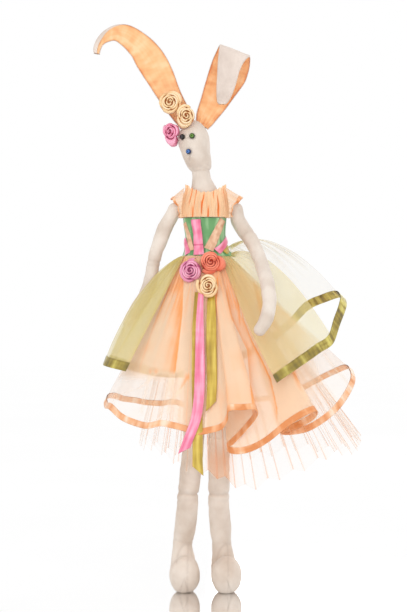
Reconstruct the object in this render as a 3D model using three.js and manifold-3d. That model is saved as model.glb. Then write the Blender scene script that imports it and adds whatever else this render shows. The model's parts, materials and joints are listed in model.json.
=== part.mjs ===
// A rabbit doll of stuffed white cotton in a layered dress with ribbon roses, standing on its feet.
// Millimetres, +Z up. The doll faces -Y, and left and right are the viewer's.
import * as THREE from "three";
import { mergeVertices } from "three/addons/utils/BufferGeometryUtils.js";
import Module from "manifold-3d";

const wasm = await Module();
wasm.setup();

// Clearances and cloth
const seat = 0.4; // between pieces that are sewn or glued together
const cloth = 1.0; // skirts and overskirt, with their seams and gathers
const lining = 0.8; // satin and cotton of the ears
const ribbon = 0.8;
const satin = 1.2; // bodice with its facing

// Legs and feet, measured up from the floor
const shinLength = 97;
const thighLength = 198;
const legRadius = 10.6;
const kneeLength = 26;
const soleCut = 1.2;
const ankleHeight = 42;
const footHeight = 36;
const footWidth = 30.4;
const footLength = 56;
const hipLeft = -10;
const hipRight = 14;
const hipY = 4;
const feet = {
  left: { kneeX: -17.4, ankleX: -22.8, ankleY: 25, toeX: -20.4 },
  right: { kneeX: 14, ankleX: 17.3, ankleY: 22, toeX: 21.3 },
};

// Torso, measured up from the hips
const torsoBottom = 12;
const waistline = 42;
const bodiceTop = 78.5;
const shoulderHeight = 84;
const shoulderX = 31.5;
const neckTop = 128;
const neckX = -4.5;
const neckRadius = 9;
const neckInset = 9; // how far the neck reaches into the head

// Arms
const armRadius = 6.9;
const threadRadius = 0.8;
const threadReach = 3; // past each shoulder centre

// Head, measured from the top of the neck
const headTurn = 18; // degrees towards the viewer's left
const eyeRadius = 2.8;
const noseRadius = 2.7;
const beadSink = 0.35; // share of a bead's radius that lies in the head

// Ears
const earGap = 2; // between lining and back, where the wire runs
const wireRadius = 0.4;
const earBend = 30; // degrees that an ear bends back at its root
const foldGap = 1.2; // between an ear and its folded tip, so that the tip can turn

// Skirts, measured from the waistline
const petticoatDrop = 203;
const overskirtRise = 8;
const hemRibbon = 6.5;
const overskirtRibbon = 9.5;

// Ribbons
const tailWidth = 9;
const sewnRibbonWidth = 8.5;
const roseRadius = 10.8;
const roseHeight = 9;

// Colours
const cotton = { color: 0xf1ebe4, roughness: 0.95, metalness: 0 };
const peachSatin = { color: 0xfbc48c, roughness: 0.42, metalness: 0 };
const chiffon = { color: 0xf7cfa8, roughness: 0.8, metalness: 0 };
const tulle = { color: 0xfbeadb, roughness: 0.9, metalness: 0 };
const organza = { color: 0xdcd9a2, roughness: 0.6, metalness: 0 };
const oliveSatin = { color: 0xb5a63f, roughness: 0.38, metalness: 0 };
const greenSatin = { color: 0x86b87c, roughness: 0.4, metalness: 0 };
const pinkSatin = { color: 0xf483a8, roughness: 0.4, metalness: 0 };
const hemSatin = { color: 0xec9f6e, roughness: 0.4, metalness: 0 };
const coralSatin = { color: 0xeb7857, roughness: 0.42, metalness: 0 };
const creamSatin = { color: 0xf5d9a8, roughness: 0.42, metalness: 0 };
const mauveSatin = { color: 0xdd84b0, roughness: 0.42, metalness: 0 };
const blackGlass = { color: 0x1b1612, roughness: 0.15, metalness: 0 };
const greenGlass = { color: 0x57802c, roughness: 0.15, metalness: 0 };
const blueGlass = { color: 0x355a98, roughness: 0.15, metalness: 0 };
const cottonThread = { color: 0xe9e2d8, roughness: 0.9, metalness: 0 };
const wireSteel = { color: 0x9a9a98, roughness: 0.4, metalness: 1 };

const degrees = Math.PI / 180;
const point = (x, y, z) => new THREE.Vector3(x, y, z);
const mix = THREE.MathUtils.lerp;

// Scene graph: every group stands at the pivot that its pieces turn about
const doll = new THREE.Group();

function pivot(name, parent, x, y, z) {
  const group = new THREE.Group();
  group.name = name;
  group.position.set(x, y, z);
  parent.add(group);
  return group;
}

function piece(group, name, geometry, finish) {
  const mesh = new THREE.Mesh(geometry, new THREE.MeshStandardMaterial(finish));
  mesh.name = name;
  group.add(mesh);
  return mesh;
}

// Closed meshes from points
function closedMesh(points, faces) {
  let volume = 0;
  for (const [a, b, c] of faces) volume += points[a].dot(points[b].clone().cross(points[c]));
  const index = faces.flatMap(([a, b, c]) => (volume < 0 ? [a, c, b] : [a, b, c]));
  const geometry = new THREE.BufferGeometry();
  geometry.setFromPoints(points);
  geometry.setIndex(index);
  return geometry;
}

function gridFaces(columns, rows, wraps, at, faces) {
  for (let i = 0; i < (wraps ? columns : columns - 1); i++) {
    for (let j = 0; j < rows - 1; j++) {
      const next = (i + 1) % columns;
      faces.push([at(i, j), at(next, j), at(next, j + 1)]);
      faces.push([at(i, j), at(next, j + 1), at(i, j + 1)]);
    }
  }
}

// A stack of rings, closed at each end by a fan
function stackedRings(rings, first, last) {
  const sides = rings[0].length;
  const points = [first, ...rings.flat(), last];
  const faces = [];
  const at = (i, j) => 1 + j * sides + i;
  gridFaces(sides, rings.length, true, at, faces);
  for (let i = 0; i < sides; i++) {
    const next = (i + 1) % sides;
    faces.push([0, at(next, 0), at(i, 0)]);
    faces.push([points.length - 1, at(i, rings.length - 1), at(next, rings.length - 1)]);
  }
  return closedMesh(points, faces);
}

// The unit normal of a surface that maps (u, t) to a point
function normalOf(surface, u, t) {
  const step = 1e-3;
  const across = surface(u + step, t).sub(surface(u - step, t));
  const along = surface(u, Math.min(t + step, 1)).sub(surface(u, Math.max(t - step, 0)));
  return across.cross(along).normalize();
}

const offset = (surface, distance) => (u, t) =>
  surface(u, t).addScaledVector(normalOf(surface, u, t), distance);

// A piece of cloth: a surface given a thickness, from inner to outer distance
function sheet(surface, { columns, rows, wraps = false, inner, outer }) {
  const points = [];
  const count = wraps ? columns : columns + 1;
  for (const distance of [inner, outer]) {
    const side = offset(surface, distance);
    for (let i = 0; i < count; i++) {
      for (let j = 0; j <= rows; j++) points.push(side(i / columns, j / rows));
    }
  }
  const low = (i, j) => i * (rows + 1) + j;
  const high = (i, j) => low(i, j) + count * (rows + 1);
  const faces = [];
  gridFaces(count, rows + 1, wraps, high, faces);
  gridFaces(count, rows + 1, wraps, (i, j) => low(i, rows - j), faces);
  for (const [j, sign] of [[0, 0], [rows, 1]]) {
    const rim = (i, k) => ((k ^ sign) ? high(i, j) : low(i, j));
    gridFaces(count, 2, wraps, rim, faces);
  }
  if (!wraps) {
    for (const [i, sign] of [[0, 1], [count - 1, 0]]) {
      const edge = (k, j) => ((k ^ sign) ? high(i, j) : low(i, j));
      gridFaces(2, rows + 1, false, (k, j) => edge(1 - k, j), faces);
    }
  }
  return closedMesh(points, faces);
}

// A smooth run through stations, each a list of numbers
function stationsCurve(stations) {
  const columns = stations[0].length;
  const curves = [];
  for (let c = 0; c < columns; c += 3) {
    const part = stations.map((s) => point(s[c], s[c + 1] ?? 0, s[c + 2] ?? 0));
    curves.push(new THREE.CatmullRomCurve3(part, false, "catmullrom", 0.5));
  }
  return (t) => curves.flatMap((curve) => curve.getPoint(t).toArray()).slice(0, columns);
}

// A stuffed limb along stations [x, y, z, half width, half depth], with round ends
function stuffedLimb(stations, sides, steps, power = 2) {
  const at = stationsCurve(stations);
  const ringAt = (t, shift, scale) => {
    const [x, y, z, wide, deep] = at(t);
    const before = point(...at(Math.max(t - 0.01, 0)));
    const along = point(...at(Math.min(t + 0.01, 1))).sub(before).normalize();
    const across = point(1, 0, 0).addScaledVector(along, -along.x).normalize();
    const depth = along.clone().cross(across);
    const centre = point(x, y, z).addScaledVector(along, shift * wide);
    return Array.from({ length: sides }, (_, i) => {
      const angle = (2 * Math.PI * (i + 0.5)) / sides;
      const c = Math.cos(angle);
      const s = Math.sin(angle);
      const swell = (Math.abs(c) ** power + Math.abs(s) ** power) ** (-1 / power);
      return centre.clone()
        .addScaledVector(across, wide * scale * c * swell)
        .addScaledVector(depth, deep * scale * s * swell);
    });
  };
  const round = [30, 60].map((a) => [Math.sin(a * degrees), Math.cos(a * degrees)]);
  const rings = [];
  for (const [shift, scale] of [...round].reverse()) rings.push(ringAt(0, -shift, scale));
  for (let k = 0; k <= steps; k++) rings.push(ringAt(k / steps, 0, 1));
  for (const [shift, scale] of round) rings.push(ringAt(1, shift, scale));
  return stackedRings(rings, ringAt(0, -1, 0)[0], ringAt(1, 1, 0)[0]);
}

// Booleans
function solid(geometry) {
  const bare = geometry.clone();
  bare.deleteAttribute("normal");
  bare.deleteAttribute("uv");
  const merged = mergeVertices(bare, 1e-3);
  return new wasm.Manifold(new wasm.Mesh({
    numProp: 3,
    vertProperties: Float32Array.from(merged.attributes.position.array),
    triVerts: Uint32Array.from(merged.index.array),
  }));
}

function geometryOf(manifold) {
  const mesh = manifold.getMesh();
  const geometry = new THREE.BufferGeometry();
  geometry.setAttribute("position", new THREE.BufferAttribute(mesh.vertProperties, 3));
  geometry.setIndex(new THREE.BufferAttribute(mesh.triVerts, 1));
  return geometry;
}

function cut(geometry, ...tools) {
  let result = solid(geometry);
  for (const tool of tools) result = result.subtract(solid(tool));
  return geometryOf(result);
}

function box(low, high) {
  const size = high.clone().sub(low);
  const geometry = new THREE.BoxGeometry(size.x, size.y, size.z);
  return geometry.translate(...low.clone().add(high).divideScalar(2).toArray());
}

function rod(start, end, radius, sides = 8) {
  const outline = new THREE.Shape();
  outline.absarc(0, 0, radius, 0, 2 * Math.PI);
  return new THREE.ExtrudeGeometry(outline, {
    extrudePath: new THREE.LineCurve3(start, end),
    steps: 1,
    curveSegments: sides,
  });
}

function turned(geometry, centre, axis, angle) {
  const copy = geometry.clone();
  copy.translate(-centre.x, -centre.y, -centre.z);
  copy.applyMatrix4(new THREE.Matrix4().makeRotationAxis(axis, angle * degrees));
  return copy.translate(centre.x, centre.y, centre.z);
}

// Torso: elliptical sections [height, centre x, half width, half depth] above the hips
const torsoSections = [
  [torsoBottom, 2, 15, 11],
  [torsoBottom + 3, 2, 20, 15],
  [torsoBottom + 13, 2, 23, 17.5],
  [waistline - 2, 1.5, 21.2, 16],
  [waistline + 20, 0.3, 18.8, 13.6],
  [waistline + 29, -0.3, 19.8, 14.4],
  [shoulderHeight - 3, -0.4, 20.8, 15],
  [shoulderHeight + 5, -0.5, 20, 13.6],
  [shoulderHeight + 13, -0.8, 17.6, 12.4],
  [shoulderHeight + 20, -0.9, 14.6, 11],
  [shoulderHeight + 27, -1.4, 12, 10],
  [shoulderHeight + 35, neckX + 1, neckRadius + 0.3, neckRadius + 0.3],
  [neckTop, neckX, neckRadius, neckRadius],
  [neckTop + neckInset, neckX, neckRadius, neckRadius],
];

function torsoAt(height) {
  const next = torsoSections.findIndex((s) => s[0] >= height);
  const k = next < 0 ? torsoSections.length - 1 : Math.max(next, 1);
  const [low, high] = [torsoSections[k - 1], torsoSections[k]];
  const share = THREE.MathUtils.clamp((height - low[0]) / (high[0] - low[0]), 0, 1);
  return low.map((value, i) => mix(value, high[i], share));
}

function onTorso(angle, height, grow) {
  const [, x, wide, deep] = torsoAt(height);
  return point(x + (wide + grow) * Math.cos(angle), (deep + grow) * Math.sin(angle), height);
}

const torsoSides = 24;
const torsoRows = 17;

function torsoRing(height, grow) {
  const angle = (i) => (2 * Math.PI * i) / torsoSides;
  return Array.from({ length: torsoSides }, (_, i) => onTorso(angle(i), height, grow));
}

function torsoBody() {
  const heights = torsoSections.map((s) => s[0]);
  heights.push(bodiceTop, waistline + 10, waistline + 36);
  heights.sort((a, b) => a - b);
  const rings = heights.slice(0, torsoRows).map((h) => torsoRing(h, 0));
  const [, lowX] = torsoSections[0];
  return stackedRings(rings, point(lowX, 0, torsoBottom), point(neckX, 0, heights.at(-1)));
}

// Head: rings [height, half width, half depth, centre y, centre x], turned towards the viewer's left
const headSections = [
  [-2.5, 8.2, 9, 0, -0.7],
  [1, 11.3, 12.8, -1, -0.7],
  [5, 12.5, 15.8, -2.6, -1.2],
  [11, 13.5, 18.4, -3.6, -2.4],
  [18, 14.4, 18.8, -3, -4.3],
  [25.5, 15.6, 18, -1.6, -5.9],
  [33, 15.3, 16.4, -0.4, -7],
  [39.5, 12.6, 13.4, 0.4, -6.9],
  [44.5, 8.2, 8.8, 0.8, -6.5],
  [47.6, 4, 4.3, 1, -6.1],
];
const headHeight = 49;

function onHead(angle, section, grow) {
  const [height, wide, deep, y, x] = section;
  const turn = -headTurn * degrees;
  const local = point((wide + grow) * Math.cos(angle), y + (deep + grow) * Math.sin(angle), height);
  local.applyAxisAngle(point(0, 0, 1), turn);
  return local.add(point(x, 0, 0));
}

function headBody(grow, sides = 22) {
  const angle = (i) => (2 * Math.PI * i) / sides;
  const rings = headSections.map((section, k) => {
    const raised = [...section];
    raised[0] += grow * mix(-1, 1, k / (headSections.length - 1));
    return Array.from({ length: sides }, (_, i) => onHead(angle(i), raised, grow));
  });
  const [[low, , , , lowX]] = headSections;
  const topX = headSections.at(-1).at(-1);
  return stackedRings(rings, point(lowX, 0, low - 2 - grow), point(topX, 0, headHeight + grow));
}

// A bead seated on the head where a line from the front meets it
function bead(x, height, radius) {
  const section = headSectionAt(height);
  let best = null;
  for (let k = 0; k <= 180; k++) {
    const p = onHead(-k * degrees, section, 0);
    if (!best || Math.abs(p.x - x) < Math.abs(best.x - x)) best = p;
  }
  const middle = point(section.at(-1), 0, height);
  const out = best.clone().sub(middle).normalize();
  const centre = best.clone().addScaledVector(out, radius * (1 - 2 * beadSink));
  const ball = (r) => new THREE.SphereGeometry(r, 10, 6).translate(centre.x, centre.y, centre.z);
  return { body: ball(radius), socket: ball(radius + seat) };
}

function headSectionAt(height) {
  const k = Math.max(headSections.findIndex((s) => s[0] >= height), 1);
  const [low, high] = [headSections[k - 1], headSections[k]];
  const share = (height - low[0]) / (high[0] - low[0]);
  return low.map((value, i) => mix(value, high[i], share));
}

// A rose wound from satin ribbon: rims and grooves round a bud, on a flat base, facing -Y
function ribbonRose(radius, height, lobes, phase) {
  const sides = 14;
  const profile = [
    [0.62, 0, 0],
    [0.98, 0.18, 1],
    [1, 0.5, 1],
    [0.84, 0.76, 0.8],
    [0.7, 0.5, 0.3],
    [0.58, 0.9, 0.7],
    [0.44, 0.66, 0.3],
    [0.28, 1, 0.4],
    [0.12, 0.86, 0],
  ];
  const rings = profile.map(([share, rise, wave], k) =>
    Array.from({ length: sides }, (_, i) => {
      const angle = (2 * Math.PI * i) / sides;
      const petal = 1 - 0.09 * wave * (0.5 + 0.5 * Math.cos(lobes * angle + phase + k));
      const r = radius * share * petal;
      return point(r * Math.cos(angle), -height * rise, r * Math.sin(angle));
    }));
  return stackedRings(rings, point(0, 0, 0), point(0, -height * 0.8, 0));
}

// Skirts: surfaces from a waist ring out to a hem, both round the waist's centre
const waistX = 1;

function waistRing(angle, grow, rise = 0) {
  const [, , wide, deep] = torsoAt(waistline - 2);
  return point(waistX + (wide + grow) * Math.cos(angle), (deep + grow) * Math.sin(angle), rise);
}

// Hem points [x, y, drop below the waistline], seen from above, anticlockwise from the right
const chiffonHem = [
  [150, 2, 129], [149, 22, 118], [136, 43, 118], [114, 63, 132], [89, 81, 146], [53, 97, 152],
  [16, 93, 154], [-16, 101, 159], [-47, 87, 155], [-73, 73, 151], [-93, 45, 145], [-99, 5, 145],
  [-94, -30, 155], [-77, -62, 163], [-59, -82, 166], [-43, -89, 163], [-19, -101, 167],
  [-1, -106, 168], [16, -113, 163], [35, -120, 145], [49, -110, 160], [55, -93, 183],
  [73, -92, 168], [89, -86, 150], [95, -66, 168], [118, -46, 163], [138, -20, 146],
];

// The overskirt's two panels: one from the front right round the back, and one over the left arm
const overskirtHem = [
  [68, -88, 122], [96, -60, 105], [112, -44, 95], [126, -28, 86], [136, -9, 67], [142, 12, 49],
  [138, 30, 41], [126, 46, 46], [109, 64, 55], [89, 84, 74], [58, 100, 97], [18, 106, 117],
  [-16, 98, 125], [-47, 80, 124], [-70, 56, 118], [-88, 36, 112], [-99, 20, 108],
];
const overArmHem = [[-101, -17, 107], [-96, -29, 108], [-85, -45, 112]];

const petticoatFlare = { x: 42, wide: 114, front: 86, back: 94, lift: 18 };

const hemCurve = (points, closed) =>
  new THREE.CatmullRomCurve3(points.map(([x, y, drop]) => point(x, y, -drop)), closed);
const chiffonCurve = hemCurve(chiffonHem, true);
const overskirtCurve = hemCurve(overskirtHem, false);
const overArmCurve = hemCurve(overArmHem, false);

function bend(start, control, end, t) {
  const a = start.clone().multiplyScalar((1 - t) ** 2);
  return a.addScaledVector(control, 2 * t * (1 - t)).addScaledVector(end, t * t);
}

function chiffonSurface(u, t) {
  const hem = chiffonCurve.getPoint(((u % 1) + 1) % 1);
  const waist = waistRing(Math.atan2(hem.y, hem.x - waistX), skirtLayer(1));
  const middle = waist.clone().lerp(hem, 0.5);
  return bend(waist, middle, hem, t);
}

function skirtLayer(number) {
  return seat + 0.5 * cloth + number * (cloth + seat);
}

function petticoatSurface(u, t) {
  const angle = 2 * Math.PI * u;
  const { x, wide, front, back, lift } = petticoatFlare;
  const deep = Math.sin(angle) < 0 ? front : back;
  const rise = lift * Math.abs(Math.cos(angle)) ** 3;
  const hem = point(x + wide * Math.cos(angle), deep * Math.sin(angle), rise - petticoatDrop);
  const waist = waistRing(Math.atan2(hem.y, hem.x - waistX), skirtLayer(0));
  return waist.lerp(hem, t);
}

// The overskirt springs out at the waist, highest at the right and back
const overskirtSurface = (curve) => (u, t) => {
  const hem = curve.getPoint(THREE.MathUtils.clamp(u, 0, 1));
  const angle = Math.atan2(hem.y, hem.x - waistX);
  const highest = 35 * degrees;
  const spring = Math.exp(-(((angle - highest) / 0.8) ** 2));
  const waist = waistRing(angle, skirtLayer(2), overskirtRise * spring);
  const control = waist.clone().lerp(hem, mix(0.6, 0.5, spring));
  control.z = waist.z + mix(-14, 32, spring);
  return bend(waist, control, hem, t);
};

const partOf = (surface, fromU, toU, fromT, toT) => (u, t) =>
  surface(mix(fromU, toU, u), mix(fromT, toT, t));

// The share of a skirt's length that a hem ribbon covers
function ribbonShare(surface, width) {
  const length = surface(0, 0).distanceTo(surface(0, 1));
  return width / length;
}

function pointsOn(surface, columns, rows) {
  const points = [];
  for (let i = 0; i <= columns; i++) {
    for (let j = 0; j <= rows; j++) points.push(surface(i / columns, j / rows));
  }
  return points;
}

const chiffonPoints = pointsOn(chiffonSurface, 240, 60).filter((p) => p.y < -15);

// The front of the chiffon skirt within some width of a place, measured from the waistline
function frontOfSkirt(x, height, width = 0) {
  const fronts = [-0.5, -0.25, 0, 0.25, 0.5].map((share) => {
    const miss = (p) => (p.x - x - share * width) ** 2 + (p.z - height) ** 2;
    return chiffonPoints.reduce((best, p) => (miss(p) < miss(best) ? p : best)).y;
  });
  return Math.min(...fronts) - cloth / 2;
}

// The place nearest the body at which a limb of some radius lies clear in front of a surface
function clearInFront(points, x, z, radius) {
  const near = points.filter((p) => Math.hypot(p.x - x, p.z - z) < radius);
  const reach = near.map((p) => p.y - Math.sqrt(radius ** 2 - (p.x - x) ** 2 - (p.z - z) ** 2));
  return Math.min(...reach, 0);
}

// Ribbon tails hang down the front of the skirt, then straight down past its hem. Their places are
// [x, share of the petticoat's drop]
function hangingTail(places, width, lift, pointed, over = 1.6) {
  const centres = places.map(([x, share]) => {
    const height = -share * petticoatDrop;
    return point(x, frontOfSkirt(x, height, over * width) - lift, height);
  });
  const path = new THREE.CatmullRomCurve3(centres);
  const surface = (u, t) => {
    const middle = path.getPoint(t);
    const along = path.getTangent(t);
    const across = point(along.z, 0, -along.x).normalize();
    const slant = pointed * (u - 0.5) * Math.max(0, t * 8 - 7);
    const half = (u - 0.5) * width * mix(0.6, 1, Math.min(1, 3 * t));
    return middle.addScaledVector(across, -half).addScaledVector(along, slant);
  };
  return sheet(surface, { columns: 1, rows: 12, inner: 0, outer: ribbon });
}

// Ears: sections [x, y, z, half width, slope in degrees] from the ear's root
const leftEarSections = [
  [0, 0, 0, 8, 36],
  [-9, 1.5, 14.5, 10.6, 20],
  [-17, 3, 27.5, 12.5, 11],
  [-22.6, 4, 38.3, 13.8, 11],
  [-29.2, 5, 51.5, 15.4, 13],
  [-36.7, 5, 64.9, 15.6, 22],
  [-44.3, 5, 76.1, 13.9, 31],
  [-53.8, 4, 84.8, 12.2, 46],
  [-63.2, 2.5, 90.5, 10.6, 63],
  [-72.2, 0, 91.5, 8.2, 83],
];
const leftTipSections = [
  [-81, -4, 87.1, 6.2, 108],
  [-86.6, -8, 80.8, 4.6, 136],
  [-89.2, -11, 74, 3.9, 158],
  [-89.4, -13, 68.6, 3, 168],
];
const rightEarSections = [
  [0, 0, 0, 7.2, -32],
  [3.5, 2, 8, 10.4, -32],
  [10.5, 4, 21, 13.5, -24],
  [17, 5.5, 34, 16.2, -22],
  [25, 7, 50.5, 19.2, -23],
  [28.5, 7, 60, 19.4, -23],
  [31, 6, 67.5, 18.6, -22],
  [32.3, 4, 72.5, 17.5, -21],
  [32.8, 1.2, 74.7, 16.7, -21],
  [33, -1.2, 75.1, 16.3, -21],
];
const rightTipSections = [
  [32.5, -5, 73.9, 15.8, -19],
  [30.8, -7.6, 70, 14.3, -14],
  [28.3, -8.9, 62.5, 12.4, -6],
  [26.3, -9.5, 53.5, 10.9, 0],
  [24, -10, 40.5, 9.1, 0],
  [21.4, -9.5, 29.5, 6.4, 0],
  [18.6, -8, 20.5, 2.6, 0],
];
const earCup = 2.2; // how far an ear bows across its width

// The fold lies at t = fold, and there the ear is flat across
function earSurface(sections, fold) {
  const at = stationsCurve(sections);
  return (u, t) => {
    const [x, y, z, half, slope] = at(THREE.MathUtils.clamp(t, 0, 1));
    const across = point(Math.cos(slope * degrees), 0, Math.sin(slope * degrees));
    const bow = earCup * (1 - (2 * u - 1) ** 2) * Math.min(1, half / 12, 3 * Math.abs(t - fold));
    return point(x, y + bow, z).addScaledVector(across, (2 * u - 1) * half);
  };
}

// Both layers of an ear or of its tip; the lining is the side that faces the viewer below the fold
function earLayers(sections, rows, gap, fold) {
  const surface = earSurface(sections, fold);
  const layer = (inner, outer) => sheet(surface, { columns: 4, rows, inner, outer });
  const near = gap / 2;
  return { lining: layer(near, near + lining), back: layer(-near - lining, -near) };
}

// A place past the end of an ear, in the direction in which the ear ends
function pastEnd(sections, distance) {
  const [before, last] = sections.slice(-2);
  const along = point(...last).sub(point(...before)).setLength(distance);
  return along.add(point(...last));
}

const foldMiddle = (sections) => pastEnd(sections, foldGap / 2);

// A tip goes on where its ear ends, past the fold
function tipAfter(sections, tip) {
  const start = pastEnd(sections, foldGap);
  const [, , , half, slope] = sections.at(-1);
  return [[start.x, start.y, start.z, half, slope], ...tip];
}

function earWire(sections) {
  const surface = earSurface(sections, 1);
  const places = Array.from({ length: 9 }, (_, k) => surface(0.5, 0.04 + 0.7 * (k / 8)));
  const outline = new THREE.Shape();
  outline.absarc(0, 0, wireRadius, 0, 2 * Math.PI);
  return new THREE.ExtrudeGeometry(outline, {
    extrudePath: new THREE.CatmullRomCurve3(places),
    steps: 8,
    curveSegments: 3,
  });
}

// Legs
const hipHeight = shinLength + thighLength;
const legBase = pivot("figure", doll, 0, 0, 0);

function thigh(hipX, foot) {
  const kneeX = foot.kneeX - hipX;
  const kneeY = (foot.ankleY - hipY) * 0.5;
  const round = legRadius * 0.98;
  const top = torsoBottom - seat - round;
  const bottom = -thighLength + kneeLength / 2 + seat / 2;
  const stations = [
    [0, 0, top, round, round],
    [kneeX * 0.05, kneeY * 0.3, bottom * 0.35, legRadius * 1.06, legRadius * 1.06],
    [kneeX * 0.35, kneeY * 0.7, bottom * 0.7, legRadius * 1.02, legRadius * 1.02],
    [kneeX, kneeY, bottom - legRadius, legRadius, legRadius],
  ];
  const end = box(point(-99, -99, bottom - 99), point(99, 99, bottom));
  return cut(stuffedLimb(stations, 14, 8), end);
}

function knee(foot, hipX) {
  const kneeX = foot.kneeX - hipX;
  const kneeY = (foot.ankleY - hipY) * 0.5;
  const half = kneeLength / 2;
  const rings = [];
  for (const [share, swell] of [[-1, 1], [-0.5, 1], [-0.14, 0.99], [0, 0.9], [0.14, 0.99], [1, 1]]) {
    const r = legRadius * swell;
    rings.push(Array.from({ length: 14 }, (_, i) => {
      const angle = (2 * Math.PI * (i + 0.5)) / 14;
      const z = -thighLength + share * (half - seat / 2);
      return point(kneeX + r * Math.cos(angle), kneeY + r * Math.sin(angle), z);
    }));
  }
  const low = point(kneeX, kneeY, rings[0][0].z);
  return stackedRings(rings, low, point(kneeX, kneeY, rings.at(-1)[0].z));
}

function shin(foot) {
  const kneeY = (foot.ankleY + hipY) * 0.5;
  const half = footHeight / 2;
  const top = -kneeLength / 2 - seat / 2;
  const ankle = ankleHeight - shinLength;
  const floor = -shinLength;
  const x = foot.ankleX - foot.kneeX;
  const y = foot.ankleY - kneeY;
  const toeX = foot.toeX - foot.kneeX;
  const heel = y + legRadius;
  const toe = heel - footLength + half;
  const stations = [
    [0, 0, top + legRadius, legRadius, legRadius],
    [0, 0, top, legRadius, legRadius],
    [x * 0.5, y * 0.6, mix(top, ankle, 0.5), legRadius * 1.02, legRadius * 1.02],
    [x, y, ankle, legRadius * 0.93, legRadius * 0.95],
    [mix(x, toeX, 0.5), heel - half * 0.8, floor + half * 1.2, footWidth * 0.44, half * 0.84],
    [toeX, mix(heel - half, toe, 0.35), floor + half - soleCut, footWidth * 0.49, half * 0.97],
    [toeX, mix(heel - half, toe, 0.7), floor + half - soleCut, footWidth * 0.5, half],
    [toeX, toe, floor + half - soleCut, footWidth * 0.49, half * 0.99],
  ];
  const above = box(point(-99, -99, top), point(99, 99, top + 99));
  const ground = box(point(-99, -99, floor - 99), point(99, 99, floor));
  return cut(stuffedLimb(stations, 14, 13, 2.15), above, ground);
}

const hips = {};
const knees = {};
for (const [side, hipX] of [["left", hipLeft], ["right", hipRight]]) {
  const foot = feet[side];
  hips[side] = pivot("hip_" + side, legBase, hipX, hipY, hipHeight);
  piece(hips[side], "thigh_" + side, thigh(hipX, foot), cotton);
  piece(hips[side], "knee_" + side, knee(foot, hipX), cotton);
  const kneeX = foot.kneeX - hipX;
  const kneeY = (foot.ankleY - hipY) * 0.5;
  knees[side] = pivot("knee_" + side, hips[side], kneeX, kneeY, -thighLength);
  piece(knees[side], "shin_" + side, shin(foot), cotton);
}

// Torso with the shoulder thread through it
const torso = pivot("torso", doll, 0, 0, hipHeight);
const threadY = 0;
const threadEnd = shoulderX + threadReach;

function threadRod(radius, reach) {
  return rod(point(-reach, threadY, shoulderHeight), point(reach, threadY, shoulderHeight), radius);
}

const threadHole = threadRod(threadRadius + seat, threadEnd + seat);
piece(torso, "torso", cut(torsoBody(), threadHole), cotton);
piece(torso, "shoulder_thread", threadRod(threadRadius, threadEnd), cottonThread);

// Bodice and the ribbons sewn on it
const wrap = (surfaceGrow, lowHeight, highHeight) => (u, t) =>
  onTorso(-2 * Math.PI * u, mix(highHeight, lowHeight, t), surfaceGrow);

piece(torso, "bodice", sheet(wrap(seat + satin / 2, waistline + 0.6, bodiceTop), {
  columns: torsoSides,
  rows: 5,
  wraps: true,
  inner: -satin / 2,
  outer: satin / 2,
}), greenSatin);

// A ribbon on the bodice between two places [degrees from the front, share of the bodice's height]
function sewnRibbon(from, to, width, layer) {
  const radius = 19;
  const rise = bodiceTop - waistline - 2;
  const flat = ([angle, share]) => [angle * degrees * radius, waistline + 1.4 + share * rise];
  const [start, end] = [flat(from), flat(to)];
  const length = Math.hypot(end[0] - start[0], end[1] - start[1]);
  const across = [(end[1] - start[1]) / length, -(end[0] - start[0]) / length];
  const grow = seat + satin + (layer + 1) * seat + layer * ribbon;
  const surface = (u, t) => {
    const aside = (u - 0.5) * width;
    const s = mix(start[0], end[0], t) + aside * across[0];
    const height = mix(start[1], end[1], t) + aside * across[1];
    const level = THREE.MathUtils.clamp(height, waistline + 0.8, bodiceTop - 0.2);
    return onTorso(s / radius - Math.PI / 2, level, grow);
  };
  return sheet(surface, { columns: 3, rows: 7, inner: 0, outer: ribbon });
}

piece(torso, "bodice_ribbon_peach_left",
  sewnRibbon([-66, 0.88], [-40, 0.08], 0.7 * sewnRibbonWidth, 0), peachSatin);
piece(torso, "bodice_ribbon_peach_right",
  sewnRibbon([56, 0.97], [6, 0.1], sewnRibbonWidth, 0), peachSatin);
piece(torso, "bodice_ribbon_pink_left",
  sewnRibbon([-74, 0.42], [-55, 0.06], 0.7 * sewnRibbonWidth, 1), pinkSatin);
piece(torso, "bodice_ribbon_pink_right",
  sewnRibbon([78, 0.42], [35, 0.16], 0.7 * sewnRibbonWidth, 0), pinkSatin);
piece(torso, "bodice_ribbon_olive",
  sewnRibbon([90, 0.19], [47, 0.04], 0.55 * sewnRibbonWidth, 0), oliveSatin);
piece(torso, "bodice_ribbon_pink_front",
  sewnRibbon([-23.5, 0.97], [-18.5, 0.06], sewnRibbonWidth, 1), pinkSatin);

// Collar: gathered over the shoulders, dipping at the front and back, spread over chest and back.
// Sections [height, half width, half depth, depth of the gathers, dip]
const collarSections = [
  [112, 19.6, 14.4, 0.9, 8],
  [107.5, 18.2, 13.6, 0.5, 6],
  [103, 18.8, 14.4, 0.6, 4],
  [96.5, 21, 16, 0.9, 2],
  [89, 23, 17.6, 1.1, 0],
  [bodiceTop + 0.8, 23.4, 19, 1.2, 0],
];
const collarGathers = 16;
const collarX = -0.6;
const collarTopX = 0.8;

function collarSurface(u, t) {
  const at = t * (collarSections.length - 1);
  const k = Math.min(Math.floor(at), collarSections.length - 2);
  const [height, wide, deep, wave, dip] =
    collarSections[k].map((value, i) => mix(value, collarSections[k + 1][i], at - k));
  const angle = -2 * Math.PI * u;
  const gather = wave * Math.cos(collarGathers * angle);
  return point(mix(collarTopX, collarX, t) + (wide + gather) * Math.cos(angle),
    (deep + gather) * Math.sin(angle), height - dip * Math.sin(angle) ** 2);
}

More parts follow.
